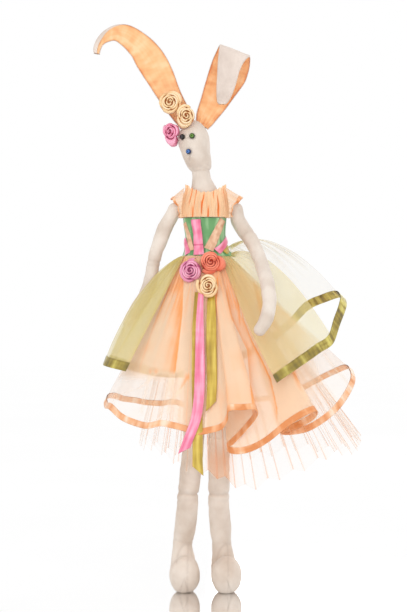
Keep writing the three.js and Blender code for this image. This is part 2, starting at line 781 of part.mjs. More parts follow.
piece(torso, "collar", cut(sheet(collarSurface, {
  columns: collarGathers * 3,
  rows: collarSections.length - 1,
  wraps: true,
  inner: -cloth / 2,
  outer: cloth / 2,
}), threadHole), chiffon);

// Caps: ruffles bound with ribbon that stand over the shoulders
const capX = 0.2;

function capSurface(sign) {
  return (u, t) => {
    const around = mix(-96, 96, t) * degrees;
    const top = Math.cos(around) ** 2;
    const innerX = 23.4 - 2.5 * top;
    const x = innerX + u * (3 + 10 * top);
    const radius = 11 + 8 * top - 4.5 * u * top;
    const height = shoulderHeight + radius * Math.cos(around);
    return point(capX + sign * x, -radius * Math.sin(around), height);
  };
}

for (const [side, sign] of [["left", -1], ["right", 1]]) {
  piece(torso, "cap_" + side, sheet(capSurface(sign), {
    columns: 2,
    rows: 12,
    inner: -cloth / 2,
    outer: cloth / 2,
  }), peachSatin);
}

// Arms, hung on the thread: [x, z] from the shoulder. The right one lies on the overskirt's front
const armPaths = {
  left: [
    [0, 4], [-2, -3], [-8, -14], [-13.5, -28], [-17.8, -40], [-20.3, -52],
    [-22.6, -66], [-27, -79], [-33.5, -90], [-40, -101], [-45, -110],
  ],
  right: [
    [0, 4], [0.8, -4], [4.6, -13], [14.4, -28.4], [20.9, -41.6], [24.6, -54],
    [28, -68], [30, -82.4], [29.5, -96.8], [25.3, -108.2], [20.6, -115.3],
  ],
};
const armSwell = [0.86, 1, 1.1, 1.05, 0.98, 0.96, 0.98, 0.98, 0.96, 0.94, 0.86];
const overskirtPoints = pointsOn(overskirtSurface(overskirtCurve), 120, 40);

function arm(side) {
  const sign = side === "left" ? -1 : 1;
  const stations = armPaths[side].map(([x, z], k) => {
    const radius = armRadius * armSwell[k];
    const height = z + shoulderHeight - waistline;
    const clear = radius + cloth / 2 + 2 * seat;
    const y = side === "left" ? 1 : clearInFront(overskirtPoints, x + sign * shoulderX, height, clear);
    return [x, y, z, radius, radius];
  });
  return stuffedLimb(stations, 11, 12);
}

const shoulders = {};
for (const [side, sign] of [["left", -1], ["right", 1]]) {
  shoulders[side] = pivot("shoulder_" + side, torso, sign * shoulderX, threadY, shoulderHeight);
  const hole = threadHole.clone().translate(-sign * shoulderX, -threadY, -shoulderHeight);
  piece(shoulders[side], "arm_" + side, cut(arm(side), hole), cotton);
}

// Skirts
const waist = pivot("waist", torso, 0, 0, waistline - 1);
const skirtColumns = 81;

piece(waist, "petticoat", sheet(petticoatSurface, {
  columns: 40,
  rows: 3,
  wraps: true,
  inner: -cloth / 2,
  outer: cloth / 2,
}), tulle);

piece(waist, "chiffon_skirt", sheet(chiffonSurface, {
  columns: skirtColumns,
  rows: 4,
  wraps: true,
  inner: -cloth / 2,
  outer: cloth / 2,
}), chiffon);

const chiffonRibbonStart = 1 - ribbonShare(chiffonSurface, hemRibbon);
piece(waist, "chiffon_skirt_hem", sheet(partOf(chiffonSurface, 0, 1, chiffonRibbonStart, 1), {
  columns: skirtColumns,
  rows: 1,
  wraps: true,
  inner: -cloth / 2 - seat - ribbon,
  outer: -cloth / 2 - seat,
}), hemSatin);

for (const [name, curve, columns] of [
  ["overskirt", overskirtCurve, 48],
  ["overskirt_over_arm", overArmCurve, 6],
]) {
  const surface = overskirtSurface(curve);
  const start = 1 - ribbonShare(surface, overskirtRibbon);
  piece(waist, name, sheet(surface, {
    columns,
    rows: 5,
    inner: -cloth / 2,
    outer: cloth / 2,
  }), organza);
  piece(waist, name + "_hem", sheet(partOf(surface, 0, 1, start, 1), {
    columns,
    rows: 1,
    inner: -cloth / 2 - seat - ribbon,
    outer: -cloth / 2 - seat,
  }), oliveSatin);
}

// Waist roses on the skirt, and the tails that hang from under them
const tailLift = 2.6; // past the hem's ribbon
const tailStep = 2.6; // from one layer of tails to the next
for (const [name, x, height, radius, lift, lobes, finish] of [
  ["waist_rose_pink", -15.4, -15.8, roseRadius - 1, -0.8, 5, mauveSatin],
  ["waist_rose_coral", 5.8, -6.8, roseRadius + 0.6, -1.3, 6, coralSatin],
  ["waist_rose_cream", 2, -29.5, roseRadius, tailLift + 1.5 * tailStep, 5, creamSatin],
]) {
  const low = frontOfSkirt(x, Math.min(height - 0.7 * radius, -4), radius);
  const rose = ribbonRose(radius, roseHeight, lobes, x);
  rose.rotateX(-6 * degrees);
  piece(waist, name, rose.translate(x, low - lift, height), finish);
}

piece(waist, "ribbon_tail_pink", hangingTail(
  [[-4, 0.18], [-5, 0.3], [-5, 0.43], [-5, 0.56], [-6, 0.68], [-9, 0.77], [-15, 0.85], [-19.5, 0.91]],
  tailWidth, tailLift + tailStep, -7, 3.4), pinkSatin);
piece(waist, "ribbon_tail_olive_long", hangingTail(
  [[-7, 0.18], [-8, 0.32], [-8, 0.43], [-8, 0.56], [-7.5, 0.68], [-7, 0.83], [-7, 0.95], [-6.5, 1.005]],
  tailWidth, tailLift, 8), oliveSatin);
piece(waist, "ribbon_tail_olive_short", hangingTail(
  [[6, 0.18], [6, 0.3], [6, 0.43], [6.5, 0.53], [6.5, 0.61], [5.5, 0.71]],
  tailWidth, 0, -8), oliveSatin);

// Head
const neck = pivot("neck", torso, neckX, 0, neckTop);
const neckHole = rod(point(0, 0, -20), point(0, 0, neckInset + seat), neckRadius + seat, 12);
const face = [
  ["eye_left", bead(-17.6, 30.7, eyeRadius), blackGlass],
  ["eye_right", bead(-8.2, 31.3, eyeRadius), greenGlass],
  ["nose", bead(-11.6, 15.5, noseRadius), blueGlass],
];
piece(neck, "head", cut(headBody(0), neckHole, ...face.map(([, b]) => b.socket)), cotton);
for (const [name, ball, finish] of face) piece(neck, name, ball.body, finish);

// Roses glued on the head beside the left ear, cut to seat on the head
const headGrown = headBody(seat);
for (const [name, x, y, z, wide, tall, lobes, finish] of [
  ["head_rose_cream_upper", -29.6, -7, 63.3, 12.2, 12.2, 5, creamSatin],
  ["head_rose_cream_lower", -15, -10.5, 48.4, 10, 10, 6, creamSatin],
  ["head_rose_pink", -27.6, -7, 35.4, 7.8, 10.4, 5, mauveSatin],
]) {
  const rose = ribbonRose(1, roseHeight, lobes, x).scale(wide, 1, tall);
  piece(neck, name, cut(rose.translate(x, y, z), headGrown), finish);
}

// Ears, each cut to clear the head as it bends back at its root
const headFar = headBody(seat * 1.1);
const ears = {};
for (const [side, rootX, rootZ, sections, tip, slope] of [
  ["left", -13.5, 45, leftEarSections, leftTipSections, 34],
  ["right", 1.5, 43.5, rightEarSections, rightTipSections, -24],
]) {
  const root = point(rootX, 2, rootZ);
  const axis = point(Math.cos(slope * degrees), 0, Math.sin(slope * degrees));
  const headHere = headFar.clone().translate(-root.x, -root.y, -root.z);
  const clear = [0, 10, 20, earBend].map((a) => turned(headHere, point(0, 0, 0), axis, a));
  ears[side] = pivot("ear_" + side, neck, root.x, root.y, root.z);
  const lower = earLayers(sections, 9, earGap, 1);
  piece(ears[side], "ear_lining_" + side, cut(lower.lining, ...clear), peachSatin);
  piece(ears[side], "ear_back_" + side, cut(lower.back, ...clear), cotton);
  piece(ears[side], "ear_wire_" + side, cut(earWire(sections), ...clear), wireSteel);
  const upper = earLayers(tipAfter(sections, tip), 5, seat, 0);
  const { x, y, z } = foldMiddle(sections);
  const fold = pivot("ear_fold_" + side, ears[side], x, y, z);
  for (const [layer, finish] of [["lining", peachSatin], ["back", cotton]]) {
    const geometry = upper[layer].translate(-x, -y, -z);
    piece(fold, "ear_tip_" + layer + "_" + side, geometry, finish);
  }
}

// The origin is on the floor under the middle of the whole doll
doll.updateMatrixWorld(true);
const bounds = new THREE.Box3().setFromObject(doll, true);
const middle = bounds.getCenter(point(0, 0, 0));
doll.position.set(-middle.x, -middle.y, -bounds.min.z);

export default doll;
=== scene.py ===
"""A rabbit doll in a layered dress with ribbon roses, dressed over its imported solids.

Lengths below are millimetres in the doll's own frame: x to the viewer's right, y away from the viewer,
z up from the floor, with x = 0 near the middle of the body. place() turns them into metres in the row frame.
"""
import json
import math

import bpy
import numpy as np
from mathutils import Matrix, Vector


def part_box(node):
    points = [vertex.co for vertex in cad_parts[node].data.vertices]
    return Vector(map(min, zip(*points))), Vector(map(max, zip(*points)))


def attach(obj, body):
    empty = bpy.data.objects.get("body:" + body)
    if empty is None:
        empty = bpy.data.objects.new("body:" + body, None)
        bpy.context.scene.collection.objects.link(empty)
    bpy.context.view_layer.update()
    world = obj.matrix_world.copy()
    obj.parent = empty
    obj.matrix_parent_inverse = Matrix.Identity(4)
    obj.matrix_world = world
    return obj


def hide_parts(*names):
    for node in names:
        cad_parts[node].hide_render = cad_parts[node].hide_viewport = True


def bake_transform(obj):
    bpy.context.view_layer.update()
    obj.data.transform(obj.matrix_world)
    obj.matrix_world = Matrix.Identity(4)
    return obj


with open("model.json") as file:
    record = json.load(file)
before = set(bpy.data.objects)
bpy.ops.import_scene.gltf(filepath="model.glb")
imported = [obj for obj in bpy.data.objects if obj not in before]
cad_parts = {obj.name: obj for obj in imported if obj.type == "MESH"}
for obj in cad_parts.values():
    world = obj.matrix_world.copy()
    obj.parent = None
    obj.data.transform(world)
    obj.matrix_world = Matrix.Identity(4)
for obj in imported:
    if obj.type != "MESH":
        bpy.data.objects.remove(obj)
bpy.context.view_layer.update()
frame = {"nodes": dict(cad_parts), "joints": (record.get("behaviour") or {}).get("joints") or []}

MM = 0.001
joints = {j["name"]: np.array(j["pos_m"]) for j in frame["joints"]}
NECK_X = -4.5
ORIGIN = joints["neck_turn"] / MM * [1, 1, 0] - [NECK_X, 0, 0]

# Heights above the floor
HIP = 295.0
KNEE = 97.0
WAIST = 336.0
SHOULDER = 379.0
NECK = 423.0


# Camera: level, 1.6 m in front of the doll, where one pixel of a 612 pixel high frame spans one millimetre
EYE_X, EYE_Z, EYE_AWAY = -1.5, 286.0, 1600.0
MIDDLE_X, MIDDLE_Y = 203.5, 306.0
SENSOR = 36.0
camera_data = bpy.data.cameras.new("camera")
camera = bpy.data.objects.new("camera", camera_data)
bpy.context.scene.collection.objects.link(camera)
bpy.context.scene.camera = camera
camera_data.sensor_width = SENSOR
camera_data.lens = SENSOR * EYE_AWAY / (2 * MIDDLE_Y)
camera.location = Vector(((EYE_X + ORIGIN[0]) * MM, (ORIGIN[1] - EYE_AWAY) * MM, EYE_Z * MM))
camera.rotation_euler = (math.radians(90), 0, 0)


def seen(px, py, y):
    """The place at depth y that shows at a pixel of the frame."""
    share = (EYE_AWAY + y) / EYE_AWAY
    return [EYE_X + (px - MIDDLE_X) * share, y, EYE_Z - (py - MIDDLE_Y) * share]


def pixels(grid):
    """Where points show in the frame."""
    share = (EYE_AWAY + grid[..., 1]) / EYE_AWAY
    return MIDDLE_X + (grid[..., 0] - EYE_X) / share, MIDDLE_Y - (grid[..., 2] - EYE_Z) / share


# Curves and fields
def place(points):
    return (np.asarray(points, float).reshape(-1, 3) + ORIGIN) * MM


def unit(v):
    return v / np.maximum(np.linalg.norm(v, axis=-1, keepdims=True), 1e-9)


def mix(a, b, share):
    return a + (b - a) * share


def hump(x, width):
    """1 at zero, falling off smoothly over some width."""
    return np.exp(-((x / width) ** 2))


def step(value, low, high):
    """From 0 at low smoothly to 1 at high."""
    t = np.clip((value - low) / (high - low), 0, 1)
    return t * t * (3 - 2 * t)


def window(value, rise, full, fall, gone):
    """0, then 1 from full to fall, then 0 again."""
    return step(value, rise, full) * (1 - step(value, fall, gone))


def circle(count):
    return 2 * math.pi * np.arange(count) / count


def turn_from(angle, at):
    """Degrees from a direction, -180 to 180."""
    return (np.degrees(angle) - at + 180) % 360 - 180


def crosswise(axis):
    """An axis of length 1 and two directions across it."""
    axis = unit(np.asarray(axis, float))
    one = unit(np.cross(axis, [0, 0, 1.0]))
    return axis, one, np.cross(axis, one)


def run_along(points):
    """The length of a line of points up to each of them."""
    return np.concatenate([[0], np.cumsum(np.linalg.norm(np.diff(points[:, :3], axis=0), axis=1))])


def spline(points, count, closed=False):
    """A Catmull-Rom curve through points with any number of columns, at count even steps of its index."""
    p = np.asarray(points, float)
    n = len(p)
    if closed:
        at = np.arange(count) / count * n
        k = np.floor(at).astype(int)
        a, b, c, d = (p[(k + s) % n] for s in (-1, 0, 1, 2))
    else:
        at = np.linspace(0, n - 1, count)
        k = np.minimum(np.floor(at).astype(int), n - 2)
        ends = np.vstack([2 * p[0] - p[1], p, 2 * p[-1] - p[-2]])
        a, b, c, d = (ends[k + s] for s in (0, 1, 2, 3))
    f = (at - k)[:, None]
    return 0.5 * (
        2 * b + (c - a) * f + (2 * a - 5 * b + 4 * c - d) * f**2 + (3 * b - a - 3 * c + d) * f**3
    )


def even(points, count, closed=False):
    """The same curve at even steps of its length."""
    fine = spline(points, 40 * len(points), closed)
    if closed:
        fine = np.vstack([fine, fine[:1]])
    run = run_along(fine)
    at = np.linspace(0, run[-1], count + 1)[:-1] if closed else np.linspace(0, run[-1], count)
    return np.column_stack([np.interp(at, run, fine[:, c]) for c in range(fine.shape[1])])


def ripple(points, size, seed):
    """A smooth uneven field from -1 to 1 over points, with lumps of about one size."""
    waves = 7
    random = np.random.default_rng(seed)
    p = np.asarray(points, float)
    total = np.zeros(p.shape[:-1])
    for _ in range(waves):
        direction = unit(random.normal(size=3))
        rate = 2 * math.pi / (size * random.uniform(0.7, 1.6))
        total += np.sin(p @ direction * rate + random.uniform(0, 2 * math.pi))
    return total / math.sqrt(waves) / 1.4


# Meshes
def normals_of(grid, wraps):
    across = np.roll(grid, -1, 0) - np.roll(grid, 1, 0) if wraps else np.gradient(grid, axis=0)
    return unit(np.cross(across, np.gradient(grid, axis=1)))


def outwards(grid):
    """The normals of a closed round shape, pointing out of it."""
    out = normals_of(grid, True)
    return out if np.sum(out * (grid - grid.mean(0, keepdims=True))) > 0 else -out


def build(name, points, faces, uvs, fold):
    """A smooth object from points in millimetres, with one (u, v) in metres for each face corner.

    fold is kept on its points: 0 in valleys, seams and tight folds, and 1 where the surface lies open. The materials
    paint shade into the colour where it is low.
    """
    mesh = bpy.data.meshes.new(name)
    mesh.from_pydata(place(points).tolist(), [], faces)
    mesh.uv_layers.new(name="UVMap").data.foreach_set("uv", np.asarray(uvs, np.float32).ravel())
    shade = mesh.attributes.new("fold", "FLOAT", "POINT")
    shade.data.foreach_set("value", np.clip(np.ravel(fold), 0, 1).astype(np.float32))
    mesh.polygons.foreach_set("use_smooth", [True] * len(mesh.polygons))
    mesh.update()
    piece = bpy.data.objects.new(name, mesh)
    bpy.context.scene.collection.objects.link(piece)
    return piece


def grid_size(grid):
    return run_along(grid[:, grid.shape[1] // 2])[-1], run_along(grid[0])[-1]


def inside_out(a, b, c, d):
    """Whether faces with these corners point into the shape that they close."""
    middle = a.mean((0, 1))
    a, b, c, d = a - middle, b - middle, c - middle, d - middle
    return np.sum(a * np.cross(b, c)) + np.sum(a * np.cross(c, d)) < 0


def quads(columns, rows, wraps, closed=False):
    """The four corners of each face of a grid as (column, row), where one past the last is the first again."""
    i, j = np.meshgrid(np.arange(columns if wraps else columns - 1), np.arange(rows if closed else rows - 1),
                       indexing="ij")
    i, j = i.ravel(), j.ravel()
    return (i, j), (i + 1, j), (i + 1, j + 1), (i, j + 1)


def on_cut(corners, size, grid, wraps):
    """Where corners lie on the piece's flat cut, in metres."""
    steps = len(grid) if wraps else len(grid) - 1
    corners = np.stack([np.stack(c, 1) for c in corners], 1)
    return (corners * np.array([size[0] / steps, size[1] / (grid.shape[1] - 1)]) * MM).reshape(-1, 2)


def cloth_grid(name, grid, wraps=False, size=None, ends=False, fold=None):
    """A surface from a grid of points [column, row]. size is (width, length) in millimetres for the weave."""
    columns, rows = grid.shape[:2]
    size = size or grid_size(grid)
    fold = np.ones((columns, rows)) if fold is None else fold
    ahead = np.roll(grid, -1, 0)
    if ends and inside_out(grid[:, :-1], ahead[:, :-1], ahead[:, 1:], grid[:, 1:]):
        grid, fold = grid[::-1], fold[::-1]
    corners = quads(columns, rows, wraps)
    faces = np.stack([i % columns * rows + j for i, j in corners], 1).tolist()
    uvs = on_cut(corners, size, grid, wraps)
    if ends:
        low = [k * rows for k in range(columns)]
        faces += [low[::-1], [k + rows - 1 for k in low]]
        uvs = np.vstack([uvs, np.zeros((2 * columns, 2))])
    return build(name, grid.reshape(-1, 3), faces, uvs, fold)


def slab(name, grid, thickness, fold, wraps=False, size=None):
    """A closed sheet with some thickness round a grid: two faces and the edge between them."""
    columns, rows = grid.shape[:2]
    size = size or grid_size(grid)
    half = normals_of(grid, wraps) * thickness / 2
    loop = np.concatenate([grid + half, (grid - half)[:, ::-1]], 1)
    fold = np.concatenate([fold, fold[:, ::-1]], 1)
    here, ahead = (loop, np.roll(loop, -1, 0)) if wraps else (loop[:-1], loop[1:])
    if inside_out(here, ahead, np.roll(ahead, -1, 1), np.roll(here, -1, 1)):
        loop, fold = loop[::-1], fold[::-1]
    n = 2 * rows
    corners = [(i, j % n) for i, j in quads(columns, n, wraps, True)]
    faces = np.stack([i % columns * n + j for i, j in corners], 1).tolist()
    uvs = on_cut([(i, np.minimum(j, n - 1 - j)) for i, j in corners], size, grid, wraps)
    r = np.arange(rows - 1)
    for at, flip in () if wraps else ((0, 1), (columns - 1, -1)):
        faces += np.stack([at * n + v for v in (r, r + 1, n - 2 - r, n - 1 - r)][::flip], 1).tolist()
        ends = [(0 * r + at, v) for v in (r, r + 1, r + 1, r)][::flip]
        uvs = np.vstack([uvs, on_cut(ends, size, grid, wraps)])
    return build(name, loop.reshape(-1, 3), faces, uvs, fold)


def joined(name, pieces):
    """Several objects made into one mesh."""
    points, faces, uvs, folds, base = [], [], [], [], 0
    for piece in pieces:
        mesh = piece.data
        count = len(mesh.vertices)
        co, fold, uv = np.zeros(3 * count), np.zeros(count), np.zeros(2 * len(mesh.loops))
        mesh.vertices.foreach_get("co", co)
        mesh.attributes["fold"].data.foreach_get("value", fold)
        mesh.uv_layers[0].data.foreach_get("uv", uv)
        points.append(co.reshape(-1, 3) / MM - ORIGIN)
        folds.append(fold)
        uvs.append(uv.reshape(-1, 2))
        faces += [[v + base for v in f.vertices] for f in mesh.polygons]
        base += count
        bpy.data.objects.remove(piece)
    return build(name, np.vstack(points), faces, np.vstack(uvs), np.concatenate(folds))


# Materials
def srgb(code):
    channels = [int(code[k:k + 2], 16) / 255 for k in (0, 2, 4)]
    return tuple(c / 12.92 if c <= 0.04045 else ((c + 0.055) / 1.055) ** 2.4 for c in channels) + (1.0,)


class Nodes:
    """The node tree of a material or of the world, built step by step."""

    def __init__(self, owner):
        owner.use_nodes = True
        self.owner = owner
        self.tree = owner.node_tree
        self.shader = self.tree.nodes.get("Principled BSDF")

    def add(self, kind, **settings):
        node = self.tree.nodes.new(kind)
        for key, value in settings.items():
            setattr(node, key, value)
        return node

    def link(self, source, target):
        self.tree.links.new(source, target)

    def set(self, **values):
        for key, value in values.items():
            self.shader.inputs[key.replace("_", " ")].default_value = value

    def mapped(self, coordinates, scale):
        source = self.add("ShaderNodeTexCoord")
        mapping = self.add("ShaderNodeMapping")
        mapping.inputs["Scale"].default_value = scale
        self.link(source.outputs[coordinates], mapping.inputs["Vector"])
        return mapping.outputs[0]

    def noise(self, scale, detail, coordinates="Object", stretch=(1, 1, 1), roughness=0.5):
        node = self.add("ShaderNodeTexNoise")
        node.inputs["Scale"].default_value = scale
        node.inputs["Detail"].default_value = detail
        node.inputs["Roughness"].default_value = roughness
        self.link(self.mapped(coordinates, stretch), node.inputs["Vector"])
        return node.outputs["Fac"]

    # The fold attribute, from which the materials paint shade
    def fold(self):
        return self.add("ShaderNodeAttribute", attribute_name="fold").outputs["Fac"]

    def ramp(self, value, stops):
        node = self.add("ShaderNodeValToRGB")
        elements = node.color_ramp.elements
        while len(elements) < len(stops):
            elements.new(0.5)
        for element, (position, colour) in zip(elements, stops):
            element.position = position
            element.color = srgb(colour) if isinstance(colour, str) else (colour,) * 3 + (1.0,)
        self.link(value, node.inputs["Fac"])
        return node.outputs["Color"]

    def threads(self, spacing, rough):
        """Warp and weft along the piece's own cut, from 0 between threads to 1 on them."""
        waves = []
        for direction in ("X", "Y"):
            wave = self.add("ShaderNodeTexWave", wave_type="BANDS", bands_direction=direction)
            wave.inputs["Scale"].default_value = 0.314 / (spacing * MM)
            wave.inputs["Distortion"].default_value = rough
            wave.inputs["Detail"].default_value = 1.0
            self.link(self.mapped("UV", (1, 1, 1)), wave.inputs["Vector"])
            waves.append(wave.outputs["Fac"])
        return self.calculate("MAXIMUM", waves[0], waves[1])

    def calculate(self, operation, a, b):
        node = self.add("ShaderNodeMath", operation=operation)
        for socket, value in zip(node.inputs, (a, b)):
            if isinstance(value, (int, float)):
                socket.default_value = value
            else:
                self.link(value, socket)
        return node.outputs[0]

    def scaled(self, value, low, high):
        """A value from 0 to 1 spread evenly from low to high."""
        return self.calculate("ADD", self.calculate("MULTIPLY", value, high - low), low)

    def mixed(self, share, a, b):
        node = self.add("ShaderNodeMix", data_type="RGBA")
        for key, value in (("Factor", share), ("A", a), ("B", b)):
            socket = [s for s in node.inputs if s.name == key and s.enabled][0]
            if isinstance(value, str):
                socket.default_value = srgb(value)
            else:
                self.link(value, socket)
        return [s for s in node.outputs if s.enabled][0]

    def bump(self, height, strength, distance, below=None):
        node = self.add("ShaderNodeBump")
        node.inputs["Strength"].default_value = strength
        node.inputs["Distance"].default_value = distance * MM
        self.link(height, node.inputs["Height"])
        if below is not None:
            self.link(below, node.inputs["Normal"])
        return node.outputs[0]

    def colour(self, value):
        self.link(value, self.shader.inputs["Base Color"])

    def normal(self, value):
        self.link(value, self.shader.inputs["Normal"])


def fresh(name):
    return Nodes(bpy.data.materials.new(name))


# The colour of the painted shade in seams, stitches, tucks and dimples
SEAM_SHADE = "ab9a8d"


def cotton(name, pale, shade, spacing=0.62):
    """Plain weave, darker between its threads, with painted shade in seams, stitches, tucks and dimples, and soft
    uneven stuffing under it.
    """
    m = fresh(name)
    base = m.ramp(m.noise(38, 4), [(0.3, shade), (0.62, pale)])
    threads = m.threads(spacing, 0.4)
    woven = m.mixed(m.scaled(threads, 0.26, 0.0), base, shade)
    m.colour(m.mixed(m.scaled(m.fold(), 0.8, 0.0), woven, SEAM_SHADE))
    creases = m.bump(m.noise(70, 5, "Object", (1, 1, 0.55), 0.6), 0.35, 0.9)
    fuzz = m.bump(m.noise(900, 2, "UV"), 0.25, 0.12, creases)
    m.normal(m.bump(threads, 0.5, 0.12, fuzz))
    m.set(Roughness=0.88, Sheen_Weight=0.2, Sheen_Roughness=0.5, Specular_IOR_Level=0.25)
    return m.owner


def satin(name, pale, deep, shade, roughness=0.36, blocks=0.25, puckers=0.0, tones=(0.08, 0.41, 0.6), fine=300):
    """Satin with fine threads, painted sheen streaks along its length, painted blocks of light and shade where it
    puckers, and painted shade where the fold attribute is low.
    """
    m = fresh(name)
    streaks = m.noise(fine, 2, "UV", (1, 0.07, 1))
    bands = m.noise(95, 2, "UV", (0.3, 1, 1))
    tone = m.calculate("ADD", m.scaled(streaks, 0, 1 - blocks), m.scaled(bands, 0, blocks))
    # Painted shade: darker toward the shade colour where the fold attribute is low
    tone = m.calculate("ADD", tone, m.scaled(m.fold(), -0.5, 0.0))
    base = m.ramp(tone, list(zip(tones, (shade, deep, pale))))
    threads = m.threads(0.34, 0.2)
    m.colour(m.mixed(m.scaled(threads, 0.12, 0.0), base, shade))
    creases = m.bump(m.noise(150, 3, "UV"), 0.25 + puckers, 0.4 + puckers)
    m.normal(m.bump(threads, 0.25, 0.06, creases))
    m.set(Roughness=roughness, Sheen_Weight=0.15, Specular_IOR_Level=0.5, Anisotropic=0.5)
    return m.owner


def sheer(name, pale, deep, open_cover, fold_cover, roughness, crease, spacing=0.45, sheen=0.25,
          pale_from=0.5):
    """Cloth that light comes through: deeper in colour and denser in its folds than where it lies open, partly as
    layers lying over each other and partly as painted shade.
    """
    m = fresh(name)
    open_share = m.calculate("ADD", m.fold(), m.scaled(m.noise(26, 3), -0.16, 0.16))
    m.colour(m.mixed(m.ramp(open_share, [(0.0, 0.0), (0.5 * pale_from, 0.55), (pale_from, 1.0)]), deep, pale))
    threads = m.threads(spacing, 0.3)
    clamped = m.calculate("MINIMUM", m.calculate("MAXIMUM", open_share, 0.0), 1.0)
    cover = m.scaled(clamped, fold_cover, open_cover)
    m.link(m.calculate("MULTIPLY", cover, m.scaled(threads, 0.72, 1.16)), m.shader.inputs["Alpha"])
    creases = m.bump(m.noise(85, 4, "Object", (1, 1, 0.4), 0.6), crease, 0.8)
    m.normal(m.bump(threads, 0.3, 0.08, creases))
    m.set(Roughness=roughness, Sheen_Weight=sheen, Specular_IOR_Level=0.3)
    return m.owner


def glass_bead(name, rim, heart):
    m = fresh(name)
    # Painted shade at the rim and in the hole, and a painted highlight on the face round the hole
    value = m.calculate("ADD", m.fold(), m.scaled(m.noise(300, 2), -0.12, 0.12))
    m.colour(m.ramp(value, [(0.4, rim), (1.0, heart)]))
    m.normal(m.bump(m.noise(500, 2), 0.08, 0.1))
    m.set(Roughness=0.16, Coat_Weight=0.25, Coat_Roughness=0.05, Specular_IOR_Level=0.35)
    return m.owner


def metal_wire(name):
    m = fresh(name)
    m.colour(m.ramp(m.noise(400, 3), [(0.3, "7d7d7b"), (0.7, "a9a9a6")]))
    m.normal(m.bump(m.noise(900, 2, "Object", (1, 1, 0.1)), 0.2, 0.05))
    m.set(Roughness=0.35, Metallic=1.0)
    return m.owner


HEM_TONES = (0.3, 0.46, 0.6)
ROSE_TONES = (0.13, 0.38, 0.56)
COTTON = cotton("white_cotton", "eadfd4", "d2c1b2")
COTTON_BACK = cotton("ear_cotton", "e9dbd1", "d2c2b7", spacing=0.5)
THREAD = cotton("white_thread", "e8dfd4", "c9bdb0", spacing=0.4)
CHIFFON = sheer("peach_chiffon", "fbd9b8", "f7a25e", open_cover=0.15, fold_cover=0.94, roughness=0.8,
                crease=0.25, sheen=0.2, pale_from=0.23)
COLLAR_CHIFFON = sheer("collar_chiffon", "fdd2a6", "ef7f2c", open_cover=0.78, fold_cover=0.97, roughness=0.75,
                       spacing=0.5, crease=0.4, sheen=0.2, pale_from=0.62)
CAP_CHIFFON = sheer("cap_chiffon", "fdd9b4", "f2a05c", open_cover=0.42, fold_cover=0.85, roughness=0.75,
                    spacing=0.5, crease=0.4)
TULLE = sheer("peach_tulle", "fcd9b6", "f3a063", open_cover=0.05, fold_cover=0.5, roughness=0.9,
              spacing=0.9, crease=0.15, sheen=0.1)
ORGANZA = sheer("olive_organza", "e3d498", "c9b565", open_cover=0.11, fold_cover=0.84, roughness=0.5,
                spacing=0.4, crease=0.35, sheen=0.3)
EAR_SATIN = satin("ear_satin", "fdd3a2", "f9be84", "de8042", 0.42, blocks=0.6, tones=(0.16, 0.44, 0.58), fine=120)
OLIVE = satin("olive_satin", "e2c95c", "c4a43a", "7d631a", 0.34, blocks=0.2, puckers=0.1)
OLIVE_HEM = satin("olive_hem_satin", "d9cb68", "9c872e", "4d4116", 0.34, blocks=0.8, puckers=0.5, tones=HEM_TONES)
GREEN = satin("green_satin", "e4f2da", "a8d09d", "659f62", blocks=0.12, tones=(0.36, 0.52, 0.66), fine=115)
PINK = satin("pink_satin", "fcb6cf", "f484a6", "cf4a70", 0.34)
HEM = satin("hem_satin", "fde2ca", "f5b888", "e08d50", 0.38, blocks=0.85, puckers=0.25, tones=HEM_TONES)
PEACH_RIBBON = satin("peach_ribbon", "f6d3b4", "e2b390", "bd8560", blocks=0.3)
CAP_RIBBON = satin("cap_ribbon", "fdd3aa", "f2ab74", "cf7634", 0.38, blocks=0.8, puckers=0.2)
CORAL = satin("coral_satin", "fc9e82", "f27a5c", "bf4526", 0.38, blocks=0.35, tones=ROSE_TONES)
CREAM = satin("cream_satin", "fce5c0", "f6d29c", "be6f2c", 0.4, blocks=0.35, tones=ROSE_TONES)
MAUVE = satin("mauve_satin", "f8bcd3", "e58cb0", "b55080", 0.38, blocks=0.35, tones=ROSE_TONES)
HEAD_PINK = satin("head_pink_satin", "f9b4cd", "ec86a8", "bb4c74", 0.38, blocks=0.35, tones=ROSE_TONES)
BLACK_BEAD = glass_bead("black_bead", "0f0c0b", "3d3034")
GREEN_BEAD = glass_bead("green_bead", "1d3609", "66962a")
BLUE_BEAD = glass_bead("blue_bead", "0f2350", "4a80c8")
WIRE = metal_wire("ear_wire")

for name, material in (("shoulder_thread", THREAD), ("ear_wire_left", WIRE), ("ear_wire_right", WIRE)):
    frame["nodes"][name].data.materials.clear()
    frame["nodes"][name].data.materials.append(material)


def dress(piece, material, slot, *nodes, body=None):
    """Gives a piece its material, hides the nodes that it stands for, and hangs it on the body that it rides on."""
    piece.data.materials.append(material)
    if nodes:
        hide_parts(*nodes)
    if body:
        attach(piece, body)


# Stuffed pieces
ROUND_STEPS = 9
GROOVE_DEPTH = 0.55


